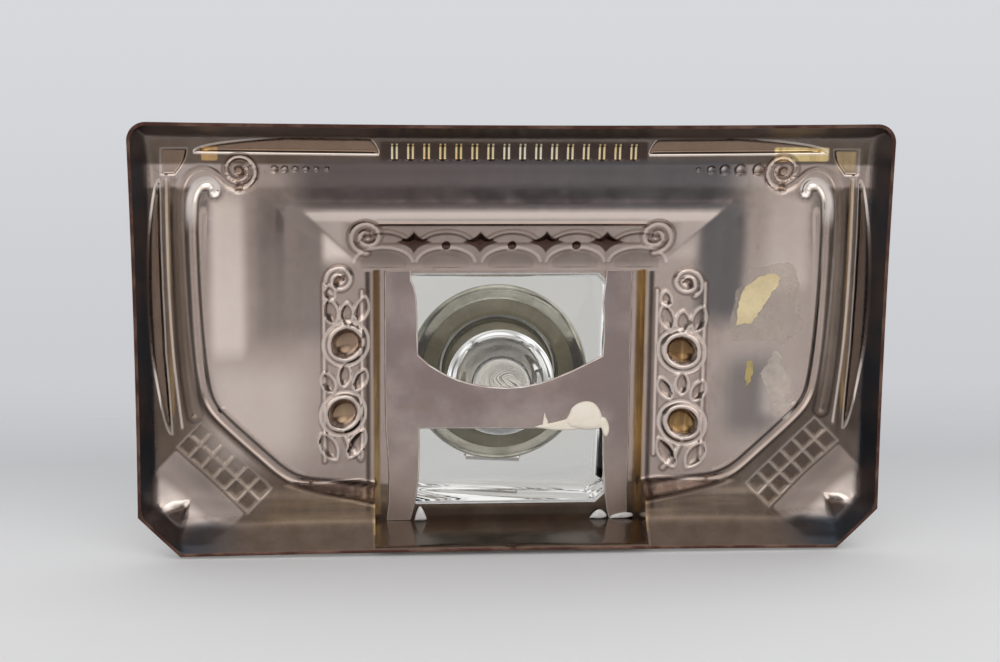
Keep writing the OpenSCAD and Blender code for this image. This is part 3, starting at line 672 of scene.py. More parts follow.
def inset_foot(p):
    """Moves points near the outer edge inwards, for the underside's narrower foot."""
    x, y = p[:, 0].copy(), p[:, 1].copy()
    near = 6.0

    def pull(inset):
        return RIM_FOOT * np.clip(1 - inset / near, 0, 1)

    x -= np.sign(x) * pull(HALF_W - np.abs(x))
    y -= np.sign(y) * pull(HALF_D - np.abs(y))
    inset = (HALF_W + HALF_D - CHAMFER - np.abs(x) - y) / math.sqrt(2)
    short = np.clip(RIM_FOOT - inset, 0, None) / math.sqrt(2)
    x -= np.sign(x) * short
    y -= short
    return np.stack([x, y], 1)


def bow(p, reference):
    """The long-used tray's edges are a little bowed in; reference holds the places before the bow."""
    x, y = reference[:, 0], reference[:, 1]
    near_side = np.clip(1 - (HALF_W - np.abs(x)) / 16, 0, 1) ** 2
    near_long = np.clip(1 - (HALF_D - np.abs(y)) / 16, 0, 1) ** 2
    dx = -np.sign(x) * 0.6 * near_side * (1 - (y / HALF_D) ** 2)
    dy = -np.sign(y) * 0.7 * near_long * (1 - (x / HALF_W) ** 2)
    return p + np.stack([dx, dy], 1)


def in_outline(x, y):
    side, front, rear = HALF_W - np.abs(x), y + HALF_D, HALF_D - y
    cx, cy = HALF_W - CORNER_R, -HALF_D + CORNER_R
    corner = (np.abs(x) > cx) & (y < cy) & (np.hypot(np.abs(x) - cx, y - cy) > CORNER_R)
    return (side > 0) & (front > 0) & (rear > 0) & (side + rear > CHAMFER) & ~corner


def in_hole(x, y):
    ax, ay = np.abs(x - GLASS_X), np.abs(y - GLASS_Y)
    return (ax < HOLE_HALF_W) & (ay < HOLE_HALF_D) & (ax + ay < HOLE_HALF_W + HOLE_HALF_D - GLASS_CORNER)


def near_hole(p, reach=2.0):
    dx, dy = np.abs(p[:, 0] - GLASS_X), np.abs(p[:, 1] - GLASS_Y)
    return (dx < HOLE_HALF_W + reach) & (dy < HOLE_HALF_D + reach)


def make_mesh(name, points, faces, smooth=True):
    """Mesh object from points in millimetres and faces of point numbers."""
    mesh = bpy.data.meshes.new(name)
    mesh.from_pydata((np.asarray(points) * MM).tolist(), [], [tuple(f) for f in faces])
    mesh.validate()
    mesh.polygons.foreach_set("use_smooth", [smooth] * len(mesh.polygons))
    obj = bpy.data.objects.new(name, mesh)
    bpy.context.scene.collection.objects.link(obj)
    return obj


def build_tray():
    """The stamped sheet: top side, underside and the edges that join them, with its patina, painted shade and
    painted highlights as attributes.
    """
    gx, gy = np.meshgrid(*grid_lines(), indexing="ij")
    mx, my = (gx[:-1, :-1] + gx[1:, 1:]) / 2, (gy[:-1, :-1] + gy[1:, 1:]) / 2
    keep = in_outline(mx, my) & ~in_hole(mx, my)
    flat = np.stack([gx.ravel(), gy.ravel()], 1)
    index = np.arange(gx.size).reshape(gx.shape)

    # Edges with a kept cell on one side only, in the order that keeps the kept cell on their left.
    padded = np.pad(keep, 1)
    left, right = padded[:-1, 1:-1], padded[1:, 1:-1]
    below, above = padded[1:-1, :-1], padded[1:-1, 1:]
    free_sides = (
        (right & ~left, index[:, 1:], index[:, :-1]),
        (left & ~right, index[:, :-1], index[:, 1:]),
        (above & ~below, index[:-1], index[1:]),
        (below & ~above, index[1:], index[:-1]),
    )
    edges = np.concatenate([np.stack([start[free], end[free]], 1) for free, start, end in free_sides])
    rim = np.unique(edges)
    inner = rim[near_hole(flat[rim])]
    outer = np.setdiff1d(rim, inner)
    flat[outer] = outline_snap(flat[outer])
    flat[inner] = hole_snap(flat[inner])

    under = inset_foot(flat)
    h_top, relief, seam, highlight_line = sheet_height(flat[:, 0], flat[:, 1], SHEET)
    h_under, relief_under, seam_under, highlight_line_under = sheet_height(under[:, 0], under[:, 1], 0.0)
    h_top[outer] = 0
    h_under[outer] = 0
    top_points = np.column_stack([bow(flat, flat), np.clip(h_top, 0, None)])
    under_points = np.column_stack([bow(under, flat), np.clip(h_under, 0, None)])
    points = np.concatenate([top_points, under_points])

    corners = (index[:-1, :-1], index[1:, :-1], index[1:, 1:], index[:-1, 1:])
    quads = np.stack([corner[keep] for corner in corners], 1)
    total = len(flat)
    stitch = np.stack([edges[:, 1], edges[:, 0], edges[:, 0] + total, edges[:, 1] + total], 1)
    faces = np.concatenate([quads, quads[:, ::-1] + total, stitch])
    slots = np.repeat([0, 1, 2], [len(quads), len(quads), len(stitch)])
    used = np.unique(faces)
    renumber = np.zeros(len(points), int)
    renumber[used] = np.arange(len(used))
    tray = make_mesh("tray_sheet", points[used], renumber[faces])
    mesh = tray.data
    mesh.polygons.foreach_set("material_index", slots)

    both = {"recess": (-relief, relief_under), "seam": (seam, seam_under), "highlight_line": (highlight_line, highlight_line_under)}
    both |= {name: (tone, tone) for name, tone in sheet_tones(under[:, 0], under[:, 1]).items()}
    for name, fields in both.items():
        values = mesh.attributes.new(name, "FLOAT", "POINT")
        values.data.foreach_set("value", np.concatenate(fields)[used].astype(np.float32))
    mesh.set_sharp_from_angle(angle=math.radians(58))
    return tray


# ---------------------------------------------------------------- other shapes


def clean(obj, sharp=35):
    """Welds doubles, makes the normals point out and marks edges sharper than an angle."""
    weld = 0.002 * MM
    bm = bmesh.new()
    bm.from_mesh(obj.data)
    bmesh.ops.remove_doubles(bm, verts=bm.verts, dist=weld)
    bmesh.ops.dissolve_degenerate(bm, edges=bm.edges, dist=weld)
    bmesh.ops.recalc_face_normals(bm, faces=bm.faces)
    bm.to_mesh(obj.data)
    bm.free()
    obj.data.polygons.foreach_set("use_smooth", [True] * len(obj.data.polygons))
    obj.data.set_sharp_from_angle(angle=math.radians(sharp))
    return obj


def lathe(name, outline, low, steps):
    """Solid turned round the glass's axis: outline is a closed list of (radius, height above low)."""
    angles = [2 * math.pi * k / steps for k in range(steps)]
    points = [
        (GLASS_X + r * math.cos(a), GLASS_Y + r * math.sin(a), low + h) for a in angles for r, h in outline
    ]
    count = len(outline)
    faces = []
    for a in range(0, len(points), count):
        b = (a + count) % len(points)
        for m in range(count):
            n = (m + 1) % count
            if max(outline[m][0], outline[n][0]) >= 1e-6:
                faces.append((a + m, b + m, b + n, a + n))
    return clean(make_mesh(name, points, faces))


def prism(name, outline, z0, z1):
    """Upright prism from an outline in millimetres."""
    n = len(outline)
    points = [(x, y, z) for z in (z0, z1) for x, y in outline]
    faces = [tuple(range(n - 1, -1, -1)), tuple(range(n, 2 * n))]
    faces += [(i, (i + 1) % n, n + (i + 1) % n, n + i) for i in range(n)]
    return make_mesh(name, points, faces, smooth=False)


def apply_modifiers(obj):
    """Turns an object's modifiers into its mesh."""
    bpy.context.view_layer.update()
    evaluated = obj.evaluated_get(bpy.context.evaluated_depsgraph_get())
    mesh = bpy.data.meshes.new_from_object(evaluated)
    old = obj.data
    obj.modifiers.clear()
    obj.data = mesh
    bpy.data.meshes.remove(old)
    return obj


def bevel(obj, width, segments, angle, slot=-1):
    """Bevels edges sharper than an angle; the bevels take the material in a slot."""
    m = obj.modifiers.new("edge", "BEVEL")
    m.material = slot
    m.width = width * MM
    m.segments = segments
    m.limit_method = "ANGLE"
    m.angle_limit = math.radians(angle)
    m.harden_normals = True
    return apply_modifiers(obj)


def combine(obj, other, operation):
    """Boolean of two closed meshes; the other one is used up."""
    m = obj.modifiers.new("combine", "BOOLEAN")
    m.object = other
    m.operation = operation
    m.solver = "EXACT"
    apply_modifiers(obj)
    bpy.data.objects.remove(other)
    return obj


# ---------------------------------------------------------------- glass, plate and plaster


def build_glass():
    """Bevelled block with its neck and well, held a hair clear of what it touches."""
    clear = 0.05
    w, d = GLASS_HALF_W - clear, GLASS_HALF_D - clear
    low, height = glass_low[2] + clear, glass_high[2] - glass_low[2] - 2 * clear
    neck_r, neck_h, bevel_top = 19.0 - clear, 5.0, 2.0
    block_h = height - neck_h
    top = block_h + neck_h
    points = []
    for inset, z in ((0.5, 0), (0, 0.5), (0, block_h - bevel_top), (bevel_top, block_h)):
        a, b, cut = w - inset, d - inset, GLASS_CORNER - inset * 0.3
        ring = [(-a + cut, -b), (a - cut, -b), (a, -b + cut), (a, b - cut)]
        ring += [(a - cut, b), (-a + cut, b), (-a, b - cut), (-a, -b + cut)]
        points += [(x + GLASS_X, y + GLASS_Y, z + low) for x, y in ring]
    faces = [tuple(range(7, -1, -1)), tuple(range(24, 32))]
    for k in (0, 8, 16):
        pairs = [(k + i, k + (i + 1) % 8) for i in range(8)]
        faces += [(a, b, b + 8, a + 8) for a, b in pairs]
    block = make_mesh("glass_body", points, faces, smooth=False)
    bevel(block, 0.35, 3, 20)

    k = 0.04
    neck = [(0, -1.0), (neck_r + k, -1.0), (neck_r + k, 0.0)]
    for t in np.linspace(0, math.pi / 2, 5)[1:]:
        neck.append((neck_r + k - k * math.sin(t), k - k * math.cos(t)))
    neck += [(neck_r, neck_h - 0.8), (neck_r - 0.25, neck_h - 0.2), (neck_r - 0.8, neck_h), (0, neck_h)]
    combine(block, lathe("neck", neck, low + block_h, 160), "UNION")

    # The well: a floor with a low hump, a rounded foot and a flared lip.
    well_r, floor, hump_r, foot_r = 16.2, 10.5, 9.0, 5.0
    shares = (0, 0.25, 0.5, 0.7, 0.85, 0.94, 1.0)
    well = [(hump_r * t, floor - 1.2 + 2.6 * (1 - t * t) ** 0.6) for t in shares]
    well.append((well_r - foot_r, floor - 0.6))
    for t in np.linspace(0, math.pi / 2, 12)[1:]:
        well.append((well_r - foot_r + foot_r * math.sin(t), floor + foot_r - foot_r * math.cos(t)))
    well += [(well_r, top - 1.0), (well_r + 0.3, top - 0.3), (well_r + 1.0, top), (well_r + 1.0, top + 2)]
    combine(block, lathe("well", well + [(0, top + 2)], low, 160), "DIFFERENCE")
    return clean(block, 24)


PLATE_OUTLINE = (
    [(-36.9, -17.2), (-29.0, -17.4), (-29.0, -14.2), (-28.1, -12.4), (-27.5, -9.6), (-27.2, -5), (-27.1, 2)]
    + [(-26.9, 8.2), (-23.4, 11.4), (-19.2, 14.0), (-15.0, 15.9), (-10.4, 17.3), (-5.5, 18.1), (-0.6, 18.4)]
    + [(4.4, 18.1), (9.4, 17.1), (14.4, 15.4), (19.4, 13.3), (24.2, 10.9), (28.3, 8.8)]
    + [(28.6, 2), (28.5, -3), (28.1, -7.4), (28.4, -11), (28.8, -13.8), (29.0, -17.4), (36.9, -17.3)]
    + [(37.0, -6), (36.9, 12), (37.0, 30), (36.8, 46), (36.9, 59.3), (31.2, 59.5), (30.5, 56.6), (29.9, 52.6)]
    + [(29.4, 47), (28.9, 40), (28.7, 31.2), (12, 31.3), (-8, 31.0), (-26.4, 30.9), (-26.4, 38)]
    + [(-26.6, 44.5), (-27.1, 50), (-27.9, 55), (-29.2, 59.4), (-36.7, 59.5), (-36.3, 56.5), (-35.9, 52.5)]
    + [(-35.8, 45), (-36.2, 38), (-36.8, 30), (-36.9, 12)]
)


def build_plate():
    """Hand-cut H-shaped plate, with its edges bevelled into a second slot, which takes a painted highlight.
    """
    plate = prism("plate", PLATE_OUTLINE, plate_low[2] + 0.02, plate_high[2] - 0.02)
    plate.data.materials.append(None)
    plate.data.materials.append(None)
    return bevel(plate, 0.4, 3, 25, slot=1)


# (share of the outline's size, share of the thickness) from a dab's edge to its middle
DAB_RINGS = ((1, 0), (1.0, 0.25), (0.93, 0.62), (0.8, 0.85), (0.6, 0.97), (0.3, 1.0))


def dab(name, blobs, thick, seed):
    """Lumpy plaster: each blob is (outline, share of the thickness), domed from its edge to its middle."""
    points, faces = [], []
    for outline, share in blobs:
        n = len(outline)
        cx, cy = sum(p[0] for p in outline) / n, sum(p[1] for p in outline) / n
        closed = smooth_path(outline + [outline[0]])[1:]
        rings = []
        for k, (scale, depth) in enumerate(DAB_RINGS):
            ring = []
            for x, y in closed:
                px, py = cx + (x - cx) * scale, cy + (y - cy) * scale
                lump = mnoise.noise(Vector((px * 0.55 + seed, py * 0.55, k * 0.2))) * 0.22
                ring.append(len(points))
                points.append((px, py, plate_low[2] - thick * share * max(0.0, depth * (1 + lump))))
            rings.append(ring)
        m = len(closed)
        for a, b in zip(rings, rings[1:]):
            faces += [(a[i], a[(i + 1) % m], b[(i + 1) % m], b[i]) for i in range(m)]
        faces += [tuple(rings[0][::-1]), tuple(rings[-1])]
    return clean(make_mesh(name, points, faces), 70)


def build_dabs():
    """Plaster on the plate's crossbar and on its two rear corners."""
    round_blob = [(18.8, 30.6), (17.2, 29.0), (18.6, 26.9), (19.2, 24.8), (21.5, 23.1), (24.5, 22.6)]
    round_blob += [(26.9, 23.8), (28.2, 26.2), (28.8, 28.8), (28.6, 31.4), (23, 31.6)]
    drip = [(26.6, 28.0), (29.4, 27.4), (30.7, 29.8), (30.9, 32.2), (30.1, 34.0), (29.0, 33.3), (28.6, 31.2)]
    tail = [(8.1, 30.6), (10.2, 29.9), (12.4, 29.6), (15.5, 28.9), (19.4, 27.8), (22, 29), (22, 31.6)]
    tail.append((14, 31.7))
    specks = [(10.6, 29.9), (10.9, 27.4), (11.2, 25.9), (11.5, 27.6), (12.0, 28.4), (12.4, 29.9)]
    corner = [(-28.0, 59.3), (-27.7, 57.5), (-26.6, 54.6), (-25.6, 55.6), (-24.6, 58.0), (-24.2, 59.4)]
    block = [(25.4, 59.2), (26.4, 57.6), (28.2, 56.4), (29.9, 57.3), (30.9, 59.0), (28.4, 59.5)]
    strip = [(31.6, 59.4), (31.9, 58.6), (34.4, 57.9), (36.6, 57.6), (38.4, 57.9), (38.9, 58.8), (36.5, 59.4)]
    bar = dab("plaster_on_bar", [(round_blob, 1.0), (drip, 0.8), (tail, 0.55), (specks, 0.35)], 0.88, 3)
    left = dab("plaster_left", [(corner, 1.0)], 0.9, 11)
    right = dab("plaster_right", [(block, 1.0), (strip, 0.8)], 0.9, 23)
    return bar, left, right


def ragged(outline, amount=0.6):
    """Outline with a torn edge."""
    out = []
    for x, y in smooth_path(outline + [outline[0]])[1:]:
        shift = mnoise.noise(Vector((x * 0.9, y * 0.9, 4.0))) * amount
        out.append((x + shift, y + 0.5 * shift))
    return out


def build_label_scraps():
    """What is left of a blank paper label, and the thin dried paste beside it, under the pen field."""
    under = sheet_height(np.array([72.0]), np.array([-11.0]), 0.0)[0][0]
    paper = [(65.9, -2.8), (66.1, -8.0), (67.0, -12.3), (69.2, -15.4), (71.9, -17.1), (74.7, -18.0)]
    paper += [(76.9, -18.2), (78.4, -17.0), (77.6, -14.7), (75.9, -12.4), (74.1, -9.0), (71.9, -5.9)]
    paper += [(70.0, -3.3), (68.1, -3.5)]
    around = [(63.7, -0.5), (64.2, -6.4), (66.5, -16.3), (71, -20.2), (76.2, -20.9), (80.1, -21.8)]
    around += [(82.8, -20.2), (84, -14.9), (84.7, -6.3), (85.5, -1.7), (83, 0.3), (79.8, 3.6)]
    around += [(77.1, 1.6), (70.4, 1.6), (65.2, 2.2)]
    yellow = [(69.3, 15.6), (68.8, 11.6), (69.6, 7.6), (71, 7.6), (71.4, 11.6), (70.2, 14.9)]
    pale = [(73.4, 11.6), (76, 7.0), (78.5, 3.6), (81, 11), (83, 18.4), (83.3, 25.2), (80.5, 25.6)]
    pale += [(77.9, 25.1), (76, 18)]
    scraps = [prism("label_scrap", ragged(paper), under - 0.16, under + 0.05)]
    for k, outline in enumerate((around, yellow, pale)):
        low = under - 0.07 - 0.01 * k
        scraps.append(prism("dried_paste_%d" % (k + 1), ragged(outline, 0.9), low, under + 0.05))
    return scraps


# ---------------------------------------------------------------- collar, hinge and lid


def build_collar():
    """Spun collar with its rolled foot; the underside is dished, and cement fills the dish."""
    top = collar_high[2] - COLLAR_FOOT
    outline = [(19.98, 0.05), (20.1, 0.5), (22.2, 0.5), (22.6, 0.12), (23.6, 0.0)]
    outline += [(24.6 + 1.75 * math.cos(t), 1.8 + 1.75 * math.sin(t)) for t in np.linspace(-1.5, 2.2, 18)]
    outline += [(23.0, 3.3), (22.5, 3.8), (22.2, 4.3), (22.0, 5.0), (22.0, top - 0.4), (21.7, top)]
    outline += [(17.5, top), (17.22, top - 0.3), (17.22, top - 0.85), (19.98, top - 0.85)]
    return lathe("collar_metal", outline, COLLAR_FOOT, 144)


def build_cement():
    outline = [(18.0, 0.05), (22.5, 0.05), (22.3, 0.44), (19.95, 0.44), (19.95, 5.2), (17.5, 5.2)]
    outline += [(17.5, 4.0), (18.0, 3.6)]
    return lathe("cement_ring", outline, COLLAR_FOOT, 96)


def build_lid():
    """Domed lid with a turned rim and a shallow step below the dome."""
    radius, rise, thick, band = lid_high[0] - GLASS_X, 10.0, 1.0, 1.8
    dome_r = (radius**2 + rise**2) / (2 * rise)
    centre = band + rise - dome_r
    reach = [radius * (1 - t) for t in np.linspace(0, 1, 26)]
    outer = [(r, centre + math.sqrt(dome_r**2 - r**2)) for r in reach if r < radius - 2.4]
    bore = np.linspace(0, radius - thick, 24)
    inner = [(r, centre + math.sqrt((dome_r - thick) ** 2 - r**2)) for r in bore]
    rim = [(radius - thick, 0), (radius - 0.35, 0), (radius, 0.35), (radius, 1.5), (radius - 0.3, 1.85)]
    rim += [(radius - 1.0, 2.0), (radius - 1.4, 2.25), (radius - 1.9, 2.75)]
    return lathe("lid_metal", rim + outer + inner, lid_low[2], 160)


def build_finial():
    """Ball on a turned neck and foot."""
    height = finial_high[2] - finial_low[2]
    ball_r, neck_r = 4.2, 2.0
    outline = [(1.25, 0), (4.55, 0), (4.6, 0.3), (4.3, 0.9), (3.2, 1.15), (2.3, 1.5), (neck_r, 2.1)]
    for t in np.linspace(-math.acos(neck_r / ball_r), math.pi / 2, 26)[:-1]:
        outline.append((ball_r * math.cos(t), height - ball_r + ball_r * math.sin(t)))
    outline += [(0.0, height), (0.0, 3.5), (1.25, 3.5)]
    return lathe("finial_metal", outline, finial_low[2], 96)


# ---------------------------------------------------------------- shader nodes


class Signal:
    """Output of a node, which can be reckoned with like a number."""

    def __init__(self, graph, socket):
        self.graph, self.socket = graph, socket

    def __add__(self, other):
        return self.graph.math("ADD", self, other)

    def __sub__(self, other):
        return self.graph.math("SUBTRACT", self, other)

    def __mul__(self, other):
        return self.graph.math("MULTIPLY", self, other)

    def __truediv__(self, other):
        return self.graph.math("DIVIDE", self, other)

    def __abs__(self):
        return self.graph.math("ABSOLUTE", self)

    def ramp(self, low, high, out_low=0.0, out_high=1.0, shape="SMOOTHSTEP"):
        """Maps low..high onto out_low..out_high, and holds it beyond the two ends."""
        reach = (low, high, out_low, out_high)
        return self.graph.add("ShaderNodeMapRange", self, *reach, interpolation_type=shape)


class Graph:
    """Nodes of one material or of the world."""

    def __init__(self, owner):
        owner.use_nodes = True
        self.owner, self.tree = owner, owner.node_tree

    def put(self, value, socket):
        """Links a signal to a socket, or sets the socket to a plain value."""
        if isinstance(value, Signal):
            self.tree.links.new(value.socket, socket)
        elif socket.type == "RGBA":
            socket.default_value = (*value, 1.0)
        else:
            socket.default_value = value

    def add(self, kind, *values, output=0, named=None, **settings):
        """New node: values go to its first sockets, named ones to theirs, and settings are its attributes."""
        node = self.tree.nodes.new(kind)
        for key, value in settings.items():
            setattr(node, key, value)
        for value, socket in zip(values, node.inputs):
            self.put(value, socket)
        for name, value in (named or {}).items():
            self.put(value, node.inputs[name])
        return Signal(self, node.outputs[output])

    def math(self, operation, a, b=0.0):
        return self.add("ShaderNodeMath", a, b, operation=operation)

    def mix(self, share, a, b):
        """Blend of two colours."""
        node = self.tree.nodes.new("ShaderNodeMix")
        node.data_type = "RGBA"
        for value, slot in ((share, 0), (a, 6), (b, 7)):
            self.put(value, node.inputs[slot])
        return Signal(self, node.outputs[2])

    def layer(self, colour, *layers):
        """Lays (share, tint) pairs over a colour, one after the other."""
        for share, tint in layers:
            colour = self.mix(share, colour, tint)
        return colour


class Paint(Graph):
    """Graph of a material, with its noises in the object's own space."""

    def __init__(self, name):
        super().__init__(bpy.data.materials.new(name))
        self.shader = self.tree.nodes["Principled BSDF"]
        self.position = self.add("ShaderNodeTexCoord", output="Object")

    def axis(self, which):
        return self.add("ShaderNodeSeparateXYZ", self.position, output=which)

    def attribute(self, name):
        return self.add("ShaderNodeAttribute", output="Fac", attribute_name=name)

    def noise(self, scale, detail=4.0, roughness=0.55, stretch=(1, 1, 1)):
        where = self.add("ShaderNodeMapping", self.position, named={"Scale": stretch})
        named = {"Vector": where, "Scale": scale, "Detail": detail, "Roughness": roughness}
        return self.add("ShaderNodeTexNoise", named=named)

    def bump(self, height, distance, strength):
        named = {"Height": height, "Distance": distance, "Strength": strength}
        self.put(self.add("ShaderNodeBump", named=named), self.shader.inputs["Normal"])

    def finish(self, **inputs):
        for name, value in inputs.items():
            self.put(value, self.shader.inputs[name.replace("_", " ")])
        return self.owner


# ---------------------------------------------------------------- materials


def tarnished_silver():
    """Underside: worn, pinkish silver plate with brown, gilt and nearly black patina by its relief, and
    painted shade, highlights and glints laid over it.
    """
    n = Paint("tarnished_silver")
    x, y = n.axis("X"), n.axis("Y")
    fine = n.noise(170, 6, 0.6)
    streak = n.noise(240, 4, 0.6, (1, 0.08, 0.08))
    wander = (n.noise(70, 4, 0.6, (1, 0.3, 0.3)) - 0.5) * 0.5
    to_right = x.ramp(-0.06, 0.06)

    def patchy(name, low=0.15, high=0.75):
        return (n.attribute(name) + wander * 0.6).ramp(low, high)

    def sides(left, right):
        return n.mix(to_right, left, right)

    blush = n.noise(22, 3, 0.5, (1, 0.6, 1)).ramp(0.35, 0.68)
    silver = n.mix(blush, (0.43, 0.348, 0.305), (0.515, 0.428, 0.385))
    mottle = n.noise(58, 6, 0.68, (1, 0.6, 1)).ramp(0.48, 0.72) * sides((0.22, 0.22, 0.22), (0.5, 0.5, 0.5))
    pits = n.noise(330, 3, 0.5, (1, 0.6, 1)).ramp(0.70, 0.76, 0.0, 0.5)
    grime = n.noise(110, 5, 0.65, (0.8, 0.3, 0.3)).ramp(0.35, 0.85)
    bed = n.mix(grime, sides((0.10, 0.068, 0.047), (0.095, 0.072, 0.055)), (0.18, 0.145, 0.12))
    gold = n.mix(streak.ramp(0.35, 0.62), sides((0.38, 0.26, 0.13), (0.50, 0.32, 0.13)), (0.17, 0.10, 0.05))
    front_gold = sides((0.60, 0.36, 0.16), (0.80, 0.62, 0.30))
    front_gold = n.mix(streak.ramp(0.4, 0.75), front_gold, (0.46, 0.30, 0.14))
    # Painted shade: soft clouds of dark reflection over the field and the ramp.
    shade = n.attribute("shade")
    shade = (shade + (streak - 0.5) * 0.2).ramp(0, 1) * shade.ramp(0, 0.15)
    # Thin painted highlights along the panels' edges, weaker or stronger by place.
    panel_highlight = abs(n.attribute("panel") + 0.05).ramp(0.5, 0.16) * n.attribute("highlight_gain")

    # Two thin painted glints, gold in tone, in each flute.
    turns = n.math("FRACT", x / (FLUTE_PITCH * MM) + FLUTES / 2)
    flute_glints = abs(abs(turns - 0.5) - 0.145).ramp(0.085, 0.035)
    flute_glints = flute_glints * (y.ramp(-0.0562, -0.0556) * y.ramp(-0.0510, -0.0516))
    flute_glints = flute_glints * abs(x).ramp(0.0366, 0.0362)
    glint_gold = n.mix(n.noise(60, 2).ramp(0.35, 0.65), (0.80, 0.60, 0.27), (0.86, 0.78, 0.60))

    rear_border = y.ramp(0.0455, 0.0475) * y.ramp(0.0565, 0.0545) * abs(x).ramp(0.076, 0.066)
    rear_border = rear_border * n.noise(120, 5, 0.65, (0.08, 1, 1)).ramp(0.42, 0.66, 0.0, 0.6)
    wall = (n.attribute("rim") + wander * 1.2).ramp(6.6, 3.6)
    wall_colour = n.layer(
        n.mix(n.noise(40, 3).ramp(0.4, 0.65), (0.05, 0.058, 0.072), (0.10, 0.08, 0.075)),
        (y.ramp(-0.050, -0.056), (0.17, 0.14, 0.13)),
        (y.ramp(0.0, 0.056) * abs(x).ramp(0.098, 0.07),
         n.mix(fine.ramp(0.3, 0.7), (0.11, 0.078, 0.058), (0.155, 0.115, 0.09))),
    )
    colour = n.layer(
        silver,
        (streak.ramp(0.35, 0.8, 0.0, 0.3), (0.44, 0.37, 0.34)),
        (mottle, (0.30, 0.225, 0.195)),
        (pits, (0.30, 0.2, 0.15)),
        (patchy("dark") * 0.92, bed),
        (n.attribute("recess").ramp(0.25, 1.1, 0.0, 0.72), (0.33, 0.215, 0.15)),
        (patchy("gilt", 0.2, 0.85), n.mix(y.ramp(-0.046, -0.050), gold, front_gold)),
        # Near-black tarnish, and painted shade beside the beads, on the shell bosses and on the pearls.
        (patchy("tarnish_and_shade", 0.1, 0.9) * 0.95, (0.065, 0.045, 0.037)),
        (shade * 0.9, sides((0.125, 0.10, 0.098), (0.10, 0.098, 0.105))),
        # Painted highlights as soft clouds, then as thin lines along the panels' edges.
        (n.attribute("painted_highlight"), (0.89, 0.77, 0.70)),
        (panel_highlight, (0.93, 0.82, 0.74)),
        (n.attribute("seam").ramp(0.6, 0.12, 0.0, 0.55), (0.15, 0.09, 0.07)),
        # Thin painted highlights along crests of the relief.
        (n.attribute("highlight_line").ramp(0.6, 0.1, 0.0, 0.6), (0.88, 0.76, 0.69)),
        (n.attribute("star").ramp(1.0, 0.84, 0.0, 0.95), (0.07, 0.037, 0.03)),
        # Painted glints, gold in tone, in the flutes.
        (flute_glints, glint_gold),
        # Painted glints on the pearls and on the narrow bead's hooked end.
        (n.attribute("painted_glint") * 0.8, (0.93, 0.84, 0.78)),
        (rear_border, sides((0.34, 0.25, 0.16), (0.42, 0.31, 0.23))),
        (wall, wall_colour),
    )
    scratches = n.noise(420, 3, 0.6, (1, 0.05, 0.05))
    n.bump(scratches * 0.012 + n.noise(26, 2, 0.4), 0.0006, 0.35)
    roughness = fine.ramp(0.3, 0.75, 0.13, 0.24) + wall * 0.18
    return n.finish(Base_Color=colour, Metallic=1.0, Roughness=roughness)


def polished_silver(name, dark, light, by_relief):
    """Cared-for silver plate, with patina left in the low places of the relief or in a fine mottle."""
    n = Paint(name)
    fine = n.noise(220, 5, 0.6)
    if by_relief:
        patina = (n.attribute("recess") + fine * 0.4).ramp(0.25, 0.9) * 0.75
    else:
        patina = fine.ramp(0.55, 0.8, 0, 0.5)
    silver = n.mix(n.noise(35, 3, 0.5).ramp(0.3, 0.7), tuple(0.9 * v for v in light), light)
    n.bump(n.noise(1300, 2, 0.5, (1, 9, 1)), 0.0001, 0.25)
    colour = n.mix(patina, silver, dark)
    return n.finish(Base_Color=colour, Metallic=1.0, Roughness=fine.ramp(0.3, 0.8, 0.16, 0.3))


def plate_metal():
    """Face of the plate: tinned, with streaks at its upper end and a paler lower end."""
    n = Paint("plate_metal")
    y = n.axis("Y")
    fine = n.noise(260, 6, 0.65)
    streaks = n.noise(110, 4, 0.6, (1, 0.12, 0.12)).ramp(0.45, 0.7, 0.0, 0.5)
    colour = n.layer(
        n.mix(n.noise(40, 4, 0.6).ramp(0.35, 0.7), (0.29, 0.228, 0.215), (0.475, 0.39, 0.36)),
        (n.noise(140, 6, 0.7).ramp(0.5, 0.75, 0.0, 0.4), (0.34, 0.25, 0.21)),
        (streaks * y.ramp(0.012, -0.004), (0.24, 0.215, 0.225)),
        (y.ramp(0.028, 0.05, 0.0, 0.45), (0.60, 0.49, 0.42)),
        (n.noise(70, 6, 0.75, (1, 0.6, 1)).ramp(0.66, 0.74, 0, 0.5), (0.17, 0.12, 0.09)),
    )
    n.bump(fine * 0.1 + n.noise(55, 2, 0.5), 0.0003, 0.3)
    return n.finish(Base_Color=colour, Metallic=1.0, Roughness=fine.ramp(0.3, 0.75, 0.3, 0.42))


def clear_glass():
    n = Paint("clear_glass")
    n.bump(n.noise(14, 1, 0.4), 0.0002, 0.004)
    tint = n.mix(n.noise(25, 2).ramp(0.3, 0.7), (0.975, 0.976, 0.962), (0.98, 0.982, 0.97))
    return n.finish(Base_Color=tint, Roughness=0.0, IOR=1.52, Transmission_Weight=1.0)


def cement_paste():
    """Dull olive cement in the collar, drawn out in rays from the middle."""
    n = Paint("cement_paste")
    turn = n.math("ARCTAN2", n.axis("Y") - GLASS_Y * MM, n.axis("X") - GLASS_X * MM)
    named = {"W": turn, "Scale": 9.0, "Detail": 7.0, "Roughness": 0.75}
    rays = n.add("ShaderNodeTexNoise", named=named, noise_dimensions="1D")
    colour = n.mix(n.noise(140, 5, 0.6).ramp(0.35, 0.7), (0.22, 0.185, 0.085), (0.30, 0.255, 0.13))
    colour = n.mix(rays.ramp(0.5, 0.72, 0.0, 0.6), colour, (0.30, 0.28, 0.19))
    n.bump(n.noise(500, 4), 0.0003, 0.6)
    return n.finish(Base_Color=colour, Roughness=n.noise(90, 2).ramp(0.3, 0.7, 0.5, 0.7))


